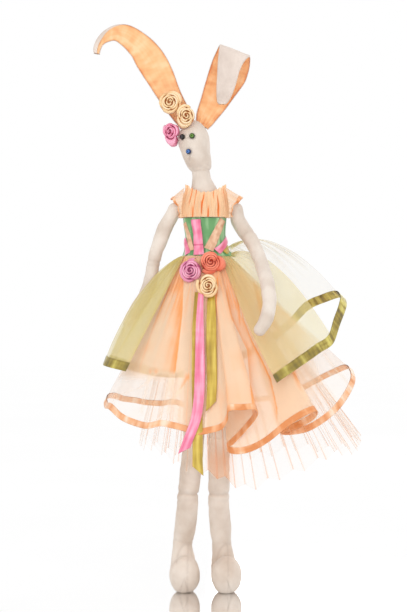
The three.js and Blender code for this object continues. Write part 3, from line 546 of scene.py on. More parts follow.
def stuffed(name, stations, rows, seams, ladders, tucks, seed, sides=56, power=2.0, lumps=0.35,
            flat_floor=False, arch=None):
    """A stuffed limb along stations [x, y, z, half width, half depth] with rounded ends.

    seams are angles in degrees, with -90 at the front. tucks run across the limb: [distance along it, depth,
    half length]. ladders are rows of small stitches: [angle, from, to, half width in degrees]. arch is the
    sewn edge of a foot's upper: [x, z, half width, half height] as seen from the front.
    """
    line = even(stations, rows)
    along = unit(np.gradient(line[:, :3], axis=0))
    across = unit(np.array([1.0, 0, 0]) - along * along[:, :1])
    depth = np.cross(along, across)
    wide, deep = line[:, 3], line[:, 4]
    turns = [(k + 0.15) / ROUND_STEPS * math.pi / 2 for k in range(ROUND_STEPS)]
    profile = [(0, math.sin(a), -math.cos(a)) for a in turns]
    profile += [(k, 1.0, 0.0) for k in range(rows)]
    profile += [(rows - 1, math.sin(a), math.cos(a)) for a in turns[::-1]]
    run = run_along(line)
    angles = circle(sides)
    c, s = np.cos(angles), np.sin(angles)
    swell = (np.abs(c) ** power + np.abs(s) ** power) ** (-1 / power)
    grid = np.zeros((sides, len(profile), 3))
    places = np.zeros(len(profile))
    for j, (k, scale, shift) in enumerate(profile):
        middle = line[k, :3] + along[k] * shift * min(wide[k], deep[k])
        scale *= 1 - sum(amount * hump(run[k] - at, half) for at, amount, half in tucks)
        grid[:, j] = (middle + np.outer(c * swell, across[k]) * wide[k] * scale
                      + np.outer(s * swell, depth[k]) * deep[k] * scale)
        places[j] = run[k] + shift * wide[k]
    out = outwards(grid)
    height = lumps * ripple(grid, 16, seed) + 0.4 * lumps * ripple(grid, 6, seed + 7)
    groove = np.zeros(height.shape)
    reach = np.minimum(wide, deep).mean()
    for seam in seams:
        away = np.radians(turn_from(angles, seam))[:, None] * reach
        stitch = 0.75 + 0.25 * np.cos(2 * math.pi * places / 3.4)
        groove += 0.9 * hump(away, 0.75) * stitch[None]
        height += 0.2 * hump(np.abs(away) - 2.4, 1.5) * (0.6 + 0.4 * np.sin(places / 2.1))[None]
    for at, low, high, half in ladders:
        near = hump(turn_from(angles, at), half)[:, None]
        between = np.clip((places - low) / 3, 0, 1) * np.clip((high - places) / 3, 0, 1)
        groove += near * (between * np.maximum(0, np.cos(2 * math.pi * places / 3.3)) ** 1.5)[None]
    for at, amount, half in tucks:
        groove += 4 * amount * hump(places - at, half)[None]
    if arch is not None:
        x, z, half, tall = arch
        ring = np.hypot((grid[..., 0] - x) / half, (grid[..., 2] - z) / tall)
        front = np.clip((grid[..., 2] - z - 0.15 * tall) / 4, 0, 1) * (out[..., 1] < 0.1)
        groove += 0.42 * hump((ring - 1) * half, 0.9) * front
        groove += 0.4 * hump(grid[..., 0] - x, 0.8) * (ring < 0.96) * (out[..., 1] < 0)
        height += 0.7 * np.clip((1 - ring) * 3, 0, 1) * front
    grid = grid + out * (height - GROOVE_DEPTH * np.minimum(groove, 1.2))[..., None]
    if flat_floor:
        grid[..., 2] = np.maximum(grid[..., 2], 0.0)
    # The grooves of seams, stitches, tucks and the foot's sewn edge are also painted darker, as painted shade
    return cloth_grid(name, grid, wraps=True, size=(2 * math.pi * wide.mean(), places[-1] - places[0]),
                      ends=True, fold=1 - 0.8 * groove)


# Legs: one stuffed form over thigh, knee crease and shin, with the sole flat on the floor
LEG = 10.6
LEG_TOP = HIP + 2
HIP_Y = 4
FOOT_HALF_HEIGHT = 18.0
FOOT_LENGTH = 56
FOOT_WIDTH = 30.4
SOLE_CUT = 1.2
for side, hip_x, knee_x, ankle_x, ankle_y, toe_x, seed in (("left", -10.0, -17.4, -22.8, 25.0, -20.4, 3),
                                                         ("right", 14.0, 14.0, 17.3, 22.0, 21.3, 5)):
    knee_y = HIP_Y + (ankle_y - HIP_Y) * 0.5
    dx, dy = knee_x - hip_x, knee_y - HIP_Y
    half = FOOT_HALF_HEIGHT
    heel = ankle_y + LEG
    toe = heel - FOOT_LENGTH + half
    foot_z = half - SOLE_CUT
    stations = [
        [hip_x, HIP_Y, LEG_TOP, LEG * 0.98, LEG * 0.98],
        [hip_x + dx * 0.05, HIP_Y + dy * 0.3, 230, LEG * 1.06, LEG * 1.06],
        [hip_x + dx * 0.1, HIP_Y + dy * 0.7, 166, LEG * 1.02, LEG * 1.02],
        [knee_x - dx * 0.3, knee_y, 112, LEG, LEG],
        [knee_x, knee_y, KNEE, LEG, LEG],
        [knee_x, knee_y, 84, LEG, LEG],
        [mix(knee_x, ankle_x, 0.5), mix(knee_y, ankle_y, 0.6), 63, LEG * 1.02, LEG * 1.02],
        [ankle_x, ankle_y, 42, LEG * 0.93, LEG * 0.95],
        [mix(ankle_x, toe_x, 0.5), heel - half * 0.8, half * 1.2, FOOT_WIDTH * 0.44, half * 0.84],
        [toe_x, mix(heel - half, toe, 0.35), foot_z, FOOT_WIDTH * 0.49, half * 0.97],
        [toe_x, mix(heel - half, toe, 0.7), foot_z, FOOT_WIDTH * 0.5, half],
        [toe_x, toe, foot_z, FOOT_WIDTH * 0.49, half * 0.99],
    ]
    down = LEG_TOP - KNEE
    left = side == "left"
    leg = stuffed("leg_" + side, stations, rows=300, power=2.12, seed=seed, flat_floor=True,
                  seams=(-112, -74) if left else (-68,),
                  ladders=[(-90, down + 14, down + 22, 26), (-88, down + 50, down + 60, 30)] if left
                  else [(-100, down + 4, down + 24, 24), (-96, down + 30, down + 52, 22)],
                  tucks=[(down, 0.09, 2.0), (down + 7, 0.03, 1.4), (down + 50, 0.03, 1.6)],
                  arch=(toe_x + (3 if left else 1.5), 24, 11.5, 22))
    dress(leg, COTTON, "cotton", "thigh_" + side, "knee_" + side, "shin_" + side)
    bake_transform(leg)


def depth_of(node, x, z, reach=7.0):
    """The middle depth of a CAD node near a place, in the doll's frame."""
    co = np.array([v.co for v in frame["nodes"][node].data.vertices]) / MM - ORIGIN
    near = co[np.hypot(co[:, 0] - x, co[:, 2] - z) < reach]
    return (near[:, 1].min() + near[:, 1].max()) / 2 if len(near) else None


# Arms, from the shoulder: [x, z]
ARM_PATHS = {
    "left": [[0, 4], [-2, -3], [-8, -14], [-13.5, -28], [-17.8, -40], [-20.3, -52],
             [-22.6, -66], [-27, -79], [-33.5, -90], [-40, -101], [-45, -110]],
    "right": [[0, 4], [0.8, -4], [4.6, -13], [14.4, -28.4], [20.9, -41.6], [24.6, -54],
              [28, -68], [30, -82.4], [29.5, -96.8], [25.3, -108.2], [20.6, -115.3]],
}
ARM = 6.9
ARM_APART = 31.5
ARM_SWELL = [0.86, 1, 1.1, 1.05, 0.98, 0.96, 0.98, 0.98, 0.96, 0.94, 0.86]
for side, sign in (("left", -1), ("right", 1)):
    stations = []
    for (x, z), swell in zip(ARM_PATHS[side], ARM_SWELL):
        x, z = x + sign * ARM_APART, z + SHOULDER
        stations.append([x, depth_of("arm_" + side, x, z), z, ARM * swell, ARM * swell])
    left = side == "left"
    arm = stuffed("arm_soft_" + side, stations, sides=44, rows=150, seed=11 + sign, lumps=0.3,
                  seams=(-60,) if left else (-18,), ladders=[(-95, 54, 64, 24)] if left else (),
                  tucks=[(56, 0.06, 1.4), (61, 0.04, 1.2)] if left else [(34, 0.03, 1.4), (92, 0.04, 1.6)])
    dress(arm, COTTON, "cotton", "arm_" + side, body="arm_" + side)

# Torso and neck: [height above the hips, centre x, half width, half depth]
TORSO = np.array([
    [12, 2, 15, 11], [15, 2, 20, 15], [25, 2, 23, 17.5], [40, 1.5, 21.2, 16], [62, 0.3, 18.8, 13.6],
    [71, -0.3, 19.8, 14.4], [81, -0.4, 20.8, 15], [89, -0.5, 20, 13.6], [97, -0.8, 17.6, 12.4],
    [104, -0.9, 14.6, 11], [111, -1.4, 12, 10], [119, -3.5, 9.3, 9.3], [128, -4.5, 9, 9], [137, -4.5, 9, 9],
])


def torso_at(height):
    """The torso's centre x, half width and half depth."""
    return [np.interp(height, TORSO[:, 0], TORSO[:, k]) for k in (1, 2, 3)]


def on_torso(angle, height, grow):
    """Places round the torso, from outside its surface or, where grow is negative, from inside it."""
    angle, height = np.broadcast_arrays(angle, height)
    x, wide, deep = torso_at(height)
    return np.stack([x + (wide + grow) * np.cos(angle), (deep + grow) * np.sin(angle), HIP + height], -1)


grid = on_torso(circle(72)[:, None], np.linspace(12, 136.5, 120)[None], -0.15)
grid = grid + normals_of(grid, True) * (0.18 * ripple(grid, 11, 4))[..., None]
torso = cloth_grid("torso_soft", grid, wraps=True, ends=True)
dress(torso, COTTON, "cotton", "torso", body="torso")

# Head: [height above the neck, half width, half depth, centre y, centre x], turned to the viewer's left
HEAD = [
    [-4.3, 3.5, 4, 0.2, -0.7], [-2.5, 8.2, 9, 0, -0.7], [1, 11.3, 12.8, -1, -0.7], [5, 12.5, 15.8, -2.6, -1.2],
    [11, 13.5, 18.4, -3.6, -2.4], [18, 14.4, 18.8, -3, -4.3], [25.5, 15.6, 18, -1.6, -5.9],
    [33, 15.3, 16.4, -0.4, -7], [39.5, 12.6, 13.4, 0.4, -6.9], [44.5, 8.2, 8.8, 0.8, -6.5],
    [47.6, 4, 4.3, 1, -6.1], [48.8, 1, 1, 1, -6.0],
]
HEAD_TURN = math.radians(-18)


def bead_place(node):
    low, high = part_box(node)
    return (np.array(low) + np.array(high)) / 2 / MM - ORIGIN, (high.x - low.x) / 2 / MM


beads = {n: bead_place(n) for n in ("eye_left", "eye_right", "nose")}
up, wide, deep, middle_y, middle_x = even(HEAD, 96).T
angles = circle(100)[:, None]
x, y = wide * np.cos(angles), middle_y + deep * np.sin(angles)
grid = np.stack([NECK_X + middle_x + x * math.cos(HEAD_TURN) - y * math.sin(HEAD_TURN),
                 x * math.sin(HEAD_TURN) + y * math.cos(HEAD_TURN), NECK + up + 0 * angles], -1)
out = outwards(grid)
height = 0.16 * ripple(grid, 14, 21) + 0.07 * ripple(grid, 5, 22)
groove = np.zeros(height.shape)
# Dimples round the beads, painted darker inside as painted shade
for centre, radius in beads.values():
    away = np.linalg.norm(grid - centre, axis=-1)
    height -= 0.85 * hump(away - 1.0, 3.0)
    groove += 0.5 * hump(np.maximum(away - 2.2, 0), 1.3)
# A stitch from the nose down, and another where the thread of the eyes is pulled through, both grooved and painted
# darker as shade
for px, py, wide, tall in ((189.6, 157.5, 0.7, 2.6), (187.2, 137.6, 1.8, 0.6)):
    away = (grid - np.array(seen(px, py, -19))) * [1 / wide, 0.12, 1 / tall]
    groove += 0.9 * hump(np.linalg.norm(away, axis=-1), 1.1)
# A seam down the back of the head, grooved and painted darker as shade
groove += 0.45 * hump(np.radians(turn_from(angles, 90)) * 15, 0.9)
grid = grid + out * (height - 0.45 * np.minimum(groove, 1.0))[..., None]
head = cloth_grid("head_soft", grid, wraps=True, ends=True, fold=1 - 0.9 * groove)
dress(head, COTTON, "cotton", "head", body="head")


def lathe(name, profile, centre, axis, fold, sides=32):
    """A turned shape: profile [radius, distance along the axis] from a centre."""
    axis, one, two = crosswise(axis)
    a = circle(sides)
    grid = np.zeros((sides, len(profile), 3))
    for j, (r, d) in enumerate(profile):
        grid[:, j] = centre + axis * d + r * (np.cos(a)[:, None] * one + np.sin(a)[:, None] * two)
    return cloth_grid(name, grid, wraps=True, ends=True, fold=np.tile(fold, (sides, 1)))


# Beads: round, with a thread hole in front, painted dark at the rim and in the hole and lighter towards the hole, as
# painted shade and a painted highlight
THREAD_HOLE = 0.35
for node, material, slot in (("eye_left", BLACK_BEAD, "black_bead"), ("eye_right", GREEN_BEAD, "green_bead"),
                             ("nose", BLUE_BEAD, "blue_bead")):
    centre, radius = beads[node]
    axis = centre - np.array([NECK_X - 5, 0, centre[2]])
    profile, fold = [(THREAD_HOLE, -0.9 * radius)], [0.0]
    for k in range(17):
        a = -1.15 + 2.55 * k / 16
        profile.append((radius * (0.12 + 0.88 * math.cos(a)), radius * math.sin(a) * 0.92))
        fold.append(max(0.0, math.sin(a)) ** 2.2)
    profile += [(THREAD_HOLE, 0.8 * radius), (0.8 * THREAD_HOLE, 0.45 * radius)]
    fold += [0.2, 0.0]
    bead = lathe(node + "_bead", profile, centre, axis, fold)
    dress(bead, material, slot, node, body="head")

# Ears: stations [x, y, z, half width, slope in degrees] from the root; fold is the station past which the
# tip is folded over. A satin lining and a cotton back that comes round the edge as a narrow pale rim.
EARS = {
    "left": dict(root=(-18.0, 2.0, 468.0), fold=9.5, across=(-0.97, -0.2, 0.12), reach=(3.0, 3.0), stations=[
        [0, 0, 0, 8, 36], [-9, 1.5, 14.5, 10.6, 20], [-17, 3, 27.5, 12.5, 11], [-22.6, 4, 38.3, 13.8, 11],
        [-29.2, 5, 51.5, 15.4, 13], [-36.7, 5, 64.9, 15.6, 22], [-44.3, 5, 76.1, 13.9, 31],
        [-53.8, 4, 84.8, 12.2, 46], [-63.2, 2.5, 90.5, 10.6, 63], [-72.2, 0, 91.5, 8.2, 83],
        [-81, -4, 87.1, 6.2, 108], [-86.6, -8, 80.8, 4.6, 136], [-89.2, -11, 74, 3.9, 158],
        [-89.4, -13, 68.6, 3, 168]]),
    "right": dict(root=(-3.0, 2.0, 466.5), fold=9.5, across=(0.011, -1, 0.028), reach=(0.9, 3.2), stations=[
        [0, 0, 0, 7.2, -32], [3.5, 2, 8, 10.4, -32], [10.5, 4, 21, 13.5, -24], [17, 5.5, 34, 16.2, -22],
        [25, 7, 50.5, 19.2, -23], [28.5, 7, 60, 19.4, -23], [31, 6, 67.5, 18.6, -22],
        [32.3, 4, 72.5, 17.5, -21], [32.8, 1.2, 74.7, 16.7, -21], [33, -1.2, 75.1, 16.3, -21],
        [32.5, -5, 73.9, 15.8, -19], [30.8, -7.6, 70, 14.3, -14], [28.3, -8.9, 62.5, 12.4, -6],
        [26.3, -9.5, 53.5, 10.9, 0], [24.2, -10, 40.5, 9.4, 0], [22.2, -9.5, 29.5, 7.4, 0],
        [20.6, -8.4, 22.8, 5.2, 0], [19.9, -8, 20.5, 2.4, 0]]),
}


EAR_COLUMNS, EAR_ROWS = 41, 170


def ear_surface(stations, fold, seed):
    """The middle surface of an ear with its normals, the share across it, its half width, and how much painted shade
    its rucks get.
    """
    line = even(stations, EAR_ROWS)
    share = np.linspace(0, 1, EAR_ROWS)
    run = run_along(stations)
    fold_at = np.interp(fold, np.arange(len(stations)), run) / run[-1]
    slope = np.radians(line[:, 4])
    across = np.stack([np.cos(slope), 0 * slope, np.sin(slope)], -1)
    u = np.linspace(-1, 1, EAR_COLUMNS)
    bow = 2.2 * np.minimum(1, line[:, 3] / 12) * np.minimum(1, 6 * np.abs(share - fold_at))
    grid = line[None, :, :3] + across[None] * (u[:, None] * line[:, 3])[..., None]
    grid[..., 1] += bow[None] * (1 - u[:, None] ** 2)
    length = share * run[-1]
    ruck = 0.3 * ripple(grid * [1, 1, 0.6], 16, 31 + seed) + 0.12 * ripple(grid, 7, 41 + seed)
    # Creases across the ear and small pleats where it is sewn to the head
    for at, amount in ((0.36, 0.5), (0.52, 0.4), (0.93 * fold_at, 0.6)):
        slant = share[None] - at - 0.05 * u[:, None]
        ruck += amount * hump(slant * run[-1], 3.2) * (1 - u[:, None] ** 2)
    ruck += 0.8 * hump(length[None], 14) * np.sin(u[:, None] * 9 + 1)
    normal = normals_of(grid, False)
    return grid + normal * ruck[..., None], normal, u, line[:, 3], 0.35 * np.abs(ruck)


for side, ear in EARS.items():
    stations = np.array(ear["stations"]) + [*ear["root"], 0, 0]
    surface, normal, u, half, ruck = ear_surface(stations, ear["fold"], 3 if side == "left" else 8)
    # Towards the edges the lining dips under the rim of the back, which is 0.9 mm wide; there and in its rucks the
    # lining is painted darker, as shade.
    inner = 1 - 0.4 / half
    middle = len(u) // 2
    centre = surface[middle]
    lining = centre[None] + (surface - centre[None]) * inner[None, :, None]
    lining = lining + normal * (1.1 - 0.75 * np.abs(u[:, None, None]) ** 10)
    front = cloth_grid("ear_lining_soft_" + side, lining, fold=1 - 0.75 * np.abs(u[:, None]) ** 12 - ruck)
    # Near the left ear's tip the back is turned over the outer edge
    turned = 3.4 * np.clip((np.linspace(0, 1, len(half)) - 0.74) / 0.14, 0, 1) * (side == "left")
    widths = {0: 0.5 + 0 * turned, -1: np.minimum(0.5 + turned, 0.9 * half)}
    rim = [centre + (surface[k] - centre) * (1 - widths[k] / half)[:, None]
           + normal[k] * (0.75 + 0.35 * (widths[k] - 0.5))[:, None] for k in (0, -1)]
    edge = [surface[k] + normal[k] * 0.85 for k in (0, -1)]
    back = surface - normal * 1.0
    back[[0, -1]] = surface[[0, -1]]
    backing = np.concatenate([np.array([rim[0], edge[0]]), back, np.array([edge[1], rim[1]])])
    behind = cloth_grid("ear_back_soft_" + side, backing)
    for piece, material, slot, nodes in (
        (front, EAR_SATIN, "peach_satin", ("ear_lining_" + side, "ear_tip_lining_" + side)),
        (behind, COTTON_BACK, "cotton", ("ear_back_" + side, "ear_tip_back_" + side)),
    ):
        dress(piece, material, slot, *nodes)
        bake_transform(piece)


# Ribbon roses
def rose(name, centre, radius, height, axis, turns, seed, stretch, loose):
    """A rose wound from one folded ribbon. axis points out of the flower.

    Each turn is three to five petals of uneven length: a petal bulges in its middle, where its lip rolls
    out over the next turn, and tucks in where it ends. loose is a last petal that hangs out: [direction, share
    of radius], with the direction in degrees from the viewer's left, down being 90.
    """
    random = np.random.default_rng(seed)
    axis, one, two = crosswise(axis)
    steps = int(turns * 64)
    s = np.linspace(0, 1, steps)
    turned = 2 * math.pi * turns * s
    theta = seed - turned
    lengths = 2 * math.pi / np.linspace(2.2, 4.6, 40) * random.uniform(0.72, 1.3, 40)
    ends = np.concatenate([[0], np.cumsum(lengths)])
    k = np.searchsorted(ends, turned, "right") - 1
    bulge = np.sin(math.pi * (turned - ends[k]) / lengths[k]) ** 0.5
    lean = random.uniform(-1, 1, 41)[k]
    pitch = 0.8 * radius / turns
    last = np.clip((s - 1 + 1.1 / turns) * turns * 1.2, 0, 1)
    reach = radius * (0.04 + 0.76 * s**0.9) + pitch * (0.42 * (bulge - 0.7) + 0.12 * lean)
    top = height * (1.0 - 0.5 * s**1.4) * (0.9 + 0.12 * bulge + 0.03 * lean)
    roll = pitch * (0.3 + 0.52 * bulge) * (0.55 + 0.45 * np.minimum(1, s * 3)) + radius * 0.09 * last * bulge
    if loose is not None:
        aside = (theta - math.radians(loose[0]) + math.pi) % (2 * math.pi) - math.pi
        hang = hump(aside, 0.62) * np.clip((s - 1 + 0.9 / turns) * 9, 0, 1)
        roll = roll + radius * loose[1] * hang
        top = top * (1 - 0.35 * hang)
    # Across the ribbon, from its foot over the lip and down the rolled side: [share of reach, outwards by the
    # roll, share of the height, downwards by the roll, openness]. Where openness is low the satin is painted darker,
    # as shade.
    section = [
        (0.86, 0.0, 0.10, 0.0, 0.0), (0.91, 0.0, 0.42, 0.0, 0.1), (0.955, 0.0, 0.7, 0.0, 0.3),
        (0.985, 0.0, 0.86, 0.0, 0.6), (1.0, 0.08, 0.97, 0.02, 0.95), (1.0, 0.3, 1.0, 0.03, 1.0),
        (1.0, 0.6, 1.0, -0.1, 1.0), (1.0, 0.86, 0.985, -0.38, 0.9), (1.0, 1.0, 0.95, -0.9, 0.6),
        (1.0, 1.02, 0.86, -1.35, 0.35), (0.98, 0.94, 0.62, -1.5, 0.1),
    ]
    grid = np.zeros((steps, len(section), 3))
    fold = np.zeros((steps, len(section)))
    for j, (share, out, up, drop, openness) in enumerate(section):
        r = (reach * share + roll * out) * (1 + 0.014 * np.sin(theta * 13 + j))
        h = top * up + roll * drop
        grid[:, j] = (centre + axis * h[:, None] + (r * stretch[0] * np.cos(theta))[:, None] * one
                      + (r * stretch[1] * np.sin(theta))[:, None] * two)
        # Painted shade: darker at the foot of each turn and where a petal tucks in
        fold[:, j] = openness * (0.5 + 0.5 * bulge)
    ribbon = slab(name + "_ribbon", grid.transpose(1, 0, 2), 0.3, fold=fold.T)
    # The base that shows between the petals is painted dark, as shade
    base = lathe(name + "_base", [(0.4, 0.1), (radius * 0.5, 0.0), (radius * 0.74, 0.35),
                                  (radius * 0.8, height * 0.18), (radius * 0.72, height * 0.4),
                                  (radius * 0.4, height * 0.6), (0.4, height * 0.7)],
                 centre, axis, [0.3, 0.3, 0.4, 0.3, 0.2, 0.2, 0.2], 40)
    return joined(name, [ribbon, base])


ROSE_HEIGHT = 9.8
PETALS_OUT = 0.97
# Each rose stays on its node. [node, body, material, slot, middle and half sizes of its outer petals in
# pixels of the frame, axis, turns, seed, loose petal]
ROSES = [
    ("waist_rose_pink", "torso", MAUVE, "mauve_satin", (191.8, 270.8), (11.3, 12.6), (-0.2, -1, 0.05), 4.1, 5, None),
    ("waist_rose_coral", "torso", CORAL, "coral_satin", (210.6, 262.4), (12.0, 11.7), (0.02, -1, 0.12), 4.3, 9,
     (172, 0.26)),
    ("waist_rose_cream", "torso", CREAM, "cream_satin", (207.6, 285.2), (10.8, 12.0), (0.05, -1, -0.02), 4.3, 14,
     None),
    ("head_rose_cream_upper", "head", CREAM, "cream_satin", (170.6, 102.9), (12.4, 12.9), (-0.12, -1, 0.1), 4.5, 18,
     (48, 0.2)),
    ("head_rose_cream_lower", "head", CREAM, "cream_satin", (185.4, 116.2), (10.2, 11.6), (0.1, -1, 0.05), 4.0, 23,
     (75, 0.1)),
    ("head_rose_pink", "head", HEAD_PINK, "mauve_satin", (172.3, 131.2), (8.4, 10.0), (-0.35, -1, -0.05), 3.4, 27,
     (88, 0.42)),
]
for node, body, material, slot, middle, half, axis, turns, seed, loose in ROSES:
    low, high = (np.array(c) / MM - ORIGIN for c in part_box(node))
    centre = np.array(seen(*middle, (low[1] + high[1]) / 2))
    centre[1] = high[1]
    radius = (half[0] + half[1]) / 2 / PETALS_OUT
    made = rose(node + "_wound", centre, radius, ROSE_HEIGHT, axis, turns, seed, (half[0] / radius, half[1] / radius),
                loose)
    dress(made, material, slot, node, body=body)


# Bodice: satin drawn tight, with folds fanning up from the waist, and the ribbons sewn on it
BODICE_TOP, BODICE_FOOT = 78.8, 40.5


def bodice_flare(angle, height):
    """How far the bodice springs out over the skirts, most of all on the right."""
    return hump(height - BODICE_FOOT, 4.2) * (1.6 + 6.0 * np.maximum(0, np.cos(angle)) ** 3)


angle, height = circle(168)[:, None], np.linspace(BODICE_TOP, BODICE_FOOT, 48)[None]
grid = on_torso(angle, height, 1.0)
folds = np.sin(angle * 17 + 2 * np.sin(angle * 3)) * hump(height - 47, 13)
folds = 0.42 * folds + 0.3 * ripple(grid * [1, 1, 0.3], 9, 51)
grid = grid + unit(grid * [1, 1, 0]) * (bodice_flare(angle, height) + folds)[..., None]
# The folds are painted lighter on their crests and darker in their valleys, as painted light and shade
bodice = slab("bodice_satin", grid[::-1], 0.5, wraps=True, fold=(0.78 + 0.9 * folds)[::-1])
dress(bodice, GREEN, "green_satin", "bodice", body="torso")


def sewn_ribbon(name, start, end, width, layer, material, slot, folded=None):
    """A ribbon on the bodice between two places [degrees from the front, share of the bodice's height]."""
    radius = 19.0
    first, last = (np.array([math.radians(a) * radius, 43.4 + share * 34.5]) for a, share in (start, end))
    length = np.linalg.norm(last - first)
    side = unit(last - first)[::-1] * [1, -1]
    t = np.linspace(0, 1, 60)
    u = np.linspace(-0.5, 0.5, 9)
    flat = first + (last - first) * t[None, :, None] + side * (u[:, None] * width + 0 * t[None])[..., None]
    angle, height = flat[..., 0] / radius - math.pi / 2, np.clip(flat[..., 1], 41.0, 78.4)
    grid = on_torso(angle, height, 1.9 + 0.6 * layer)
    # The ribbon is painted lighter where it lifts and darker where it dips, and darker just past a fold, as painted
    # light and painted shadow
    uneven = 0.22 * ripple(grid, 7, 40 + layer)
    fold = 0.9 + uneven
    if folded is not None:
        away = (t - folded)[None] * length
        uneven = uneven + 0.5 * hump(away, 0.9)
        fold = fold - 0.6 * hump(away - 1.3, 0.6)
    grid = grid + unit(grid * [1, 1, 0]) * (uneven + bodice_flare(angle, height))[..., None]
    made = slab("bodice_ribbon_" + name + "_satin", grid, 0.35, size=(width, length), fold=fold)
    dress(made, material, slot, "bodice_ribbon_" + name, body="torso")


for name, *ribbon in (
    ("peach_left", (-66, 0.88), (-40, 0.08), 6, 0, PEACH_RIBBON, "peach_satin"),
    ("peach_right", (56, 0.97), (6, 0.1), 8.5, 0, PEACH_RIBBON, "peach_satin"),
    ("pink_left", (-74, 0.42), (-50, -0.02), 6, 1, PINK, "pink_satin"),
    ("pink_right", (78, 0.42), (26, 0.05), 6.5, 1, PINK, "pink_satin"),
    ("olive", (90, 0.19), (47, 0.04), 4.7, 0, OLIVE, "olive_satin"),
    ("pink_front", (-23.5, 0.97), (-18.0, -0.05), 8.5, 1, PINK, "pink_satin", 0.68),
):
    sewn_ribbon(name, *ribbon)

# Collar: chiffon in uneven gathers, dipping at the front, bunched at both sides of the neck
columns, rows = 640, 60
angle = circle(columns)[:, None]
z, wide, deep, swing, dip = even([
    [407, 20.2, 14.6, 0.9, 8], [402.5, 20.2, 14.4, 0.7, 6], [398, 21.2, 15.2, 0.9, 4],
    [391.5, 22.6, 16.6, 1.1, 2], [384, 23.6, 17.8, 1.2, 0], [374.3, 23.6, 19, 1.3, 0]], rows).T
down = np.linspace(0, 1, rows)
random = np.random.default_rng(61)
gather = np.zeros((columns, rows))
for count, weight in ((17, 0.5), (27, 0.5), (41, 0.42), (63, 0.18), (11, 0.3)):
    drift = random.uniform(0, 6) + random.uniform(0.7, 1.5) * np.sin(math.pi * down + random.uniform(0, 6))
    gather += weight * np.sin(count * angle + 0.9 * np.sin(3 * angle) + drift)
slit = np.clip((-gather - 0.62) / 0.5, 0, 1) * (0.55 + 0.45 * ripple(
    np.stack(np.broadcast_arrays(angle * 20, 0.0, down * 34), -1), 13, 66))
wave = 0.85 * swing * (np.sign(gather) * np.abs(gather) ** 0.8 - 0.9 * slit)
lift = (0.7 * hump(turn_from(angle, -36), 30) + 0.3 * hump(turn_from(angle, -150), 26)
        + 0.6 * np.sin(17 * angle + 1.3) * np.cos(5 * angle) + 0.5 * np.sin(29 * angle))
grid = np.stack([mix(0.8, -0.6, down) + (wide + wave) * np.cos(angle), (deep + wave) * np.sin(angle),
                 z - dip * np.sin(angle) ** 2 + hump(z - 407, 4.5) * lift], -1)
# The gathers are painted paler on their crests, and deeper and denser in their valleys and slits, partly as painted
# shade
collar = cloth_grid("collar_gathered", grid, wraps=True, fold=0.8 + 0.35 * gather - 1.1 * slit)
dress(collar, COLLAR_CHIFFON, "chiffon", "collar", body="torso")


def cap_grid(sign, columns, rows, start=0.0):
    t = np.linspace(-1, 1, rows)
    u = np.linspace(start, 1, columns)
    around = np.radians(110 * t)
    top = np.cos(around) ** 2
    x = (23.4 - 2.5 * top)[None] + u[:, None] * (3 + (10 if sign < 0 else 13) * top)[None]
    frill = (0.8 * u[:, None] * np.sin(around * 6 + sign)[None] + 0.3 * np.sin(around * 17)[None]
             + 0.3 * u[:, None] * np.sin(around * 11 + 2)[None])
    radius = 12.8 + 12.4 * top[None] - 11 * u[:, None] * top[None] + frill
    x = x + 0.7 * u[:, None] * np.cos(around * 9)[None]
    grid = np.stack([0.2 + sign * x, -radius * np.sin(around)[None], SHOULDER + radius * np.cos(around)[None]], -1)
    # The frill is painted paler on its crests and deeper in its valleys, as painted light and shade
    return grid, 0.75 + 0.5 * frill


for side, sign in (("left", -1), ("right", 1)):
    grid, fold = cap_grid(sign, 21, 140)
    ruffle = cloth_grid("cap_ruffle_" + side, grid, fold=fold)
    grid, fold = cap_grid(sign, 6, 140, 0.8)
    bound = slab("cap_ribbon_" + side, grid, 0.8, fold=fold)
    for piece, material, nodes in ((ruffle, CAP_CHIFFON, ("cap_" + side,)), (bound, CAP_RIBBON, ())):
        dress(piece, material, "peach_satin", *nodes)
        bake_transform(piece)

# Skirts: each runs from a ring at the waist to a hem that is given as seen from above
WAIST_X = 1.0
HEM_RIBBON, OLIVE_HEM_RIBBON = 6.0, 9.0
HEM_OUT, HEM_ROWS = 0.5, 5


def waist_ring(angle, grow, rise):
    _, wide, deep = torso_at(WAIST - HIP - 1)
    return np.stack([WAIST_X + (wide + grow) * np.cos(angle), (deep + grow) * np.sin(angle),
                     WAIST + rise + 0 * angle], -1)


def tightness(grid, wraps, tight):
    """From 1 where a skirt lies open to 0 where it turns round a fold of a small radius."""
    if wraps:
        before, after = np.roll(grid, 1, 0), np.roll(grid, -1, 0)
    else:
        padded = np.concatenate([grid[:1], grid, grid[-1:]])
        before, after = padded[:-2], padded[2:]
    spacing = np.linalg.norm(after - before, axis=-1) / 2
    bend = np.linalg.norm(before + after - 2 * grid, axis=-1) / np.maximum(spacing, 0.05) ** 2
    return 1 / (1 + (bend * tight) ** 2)


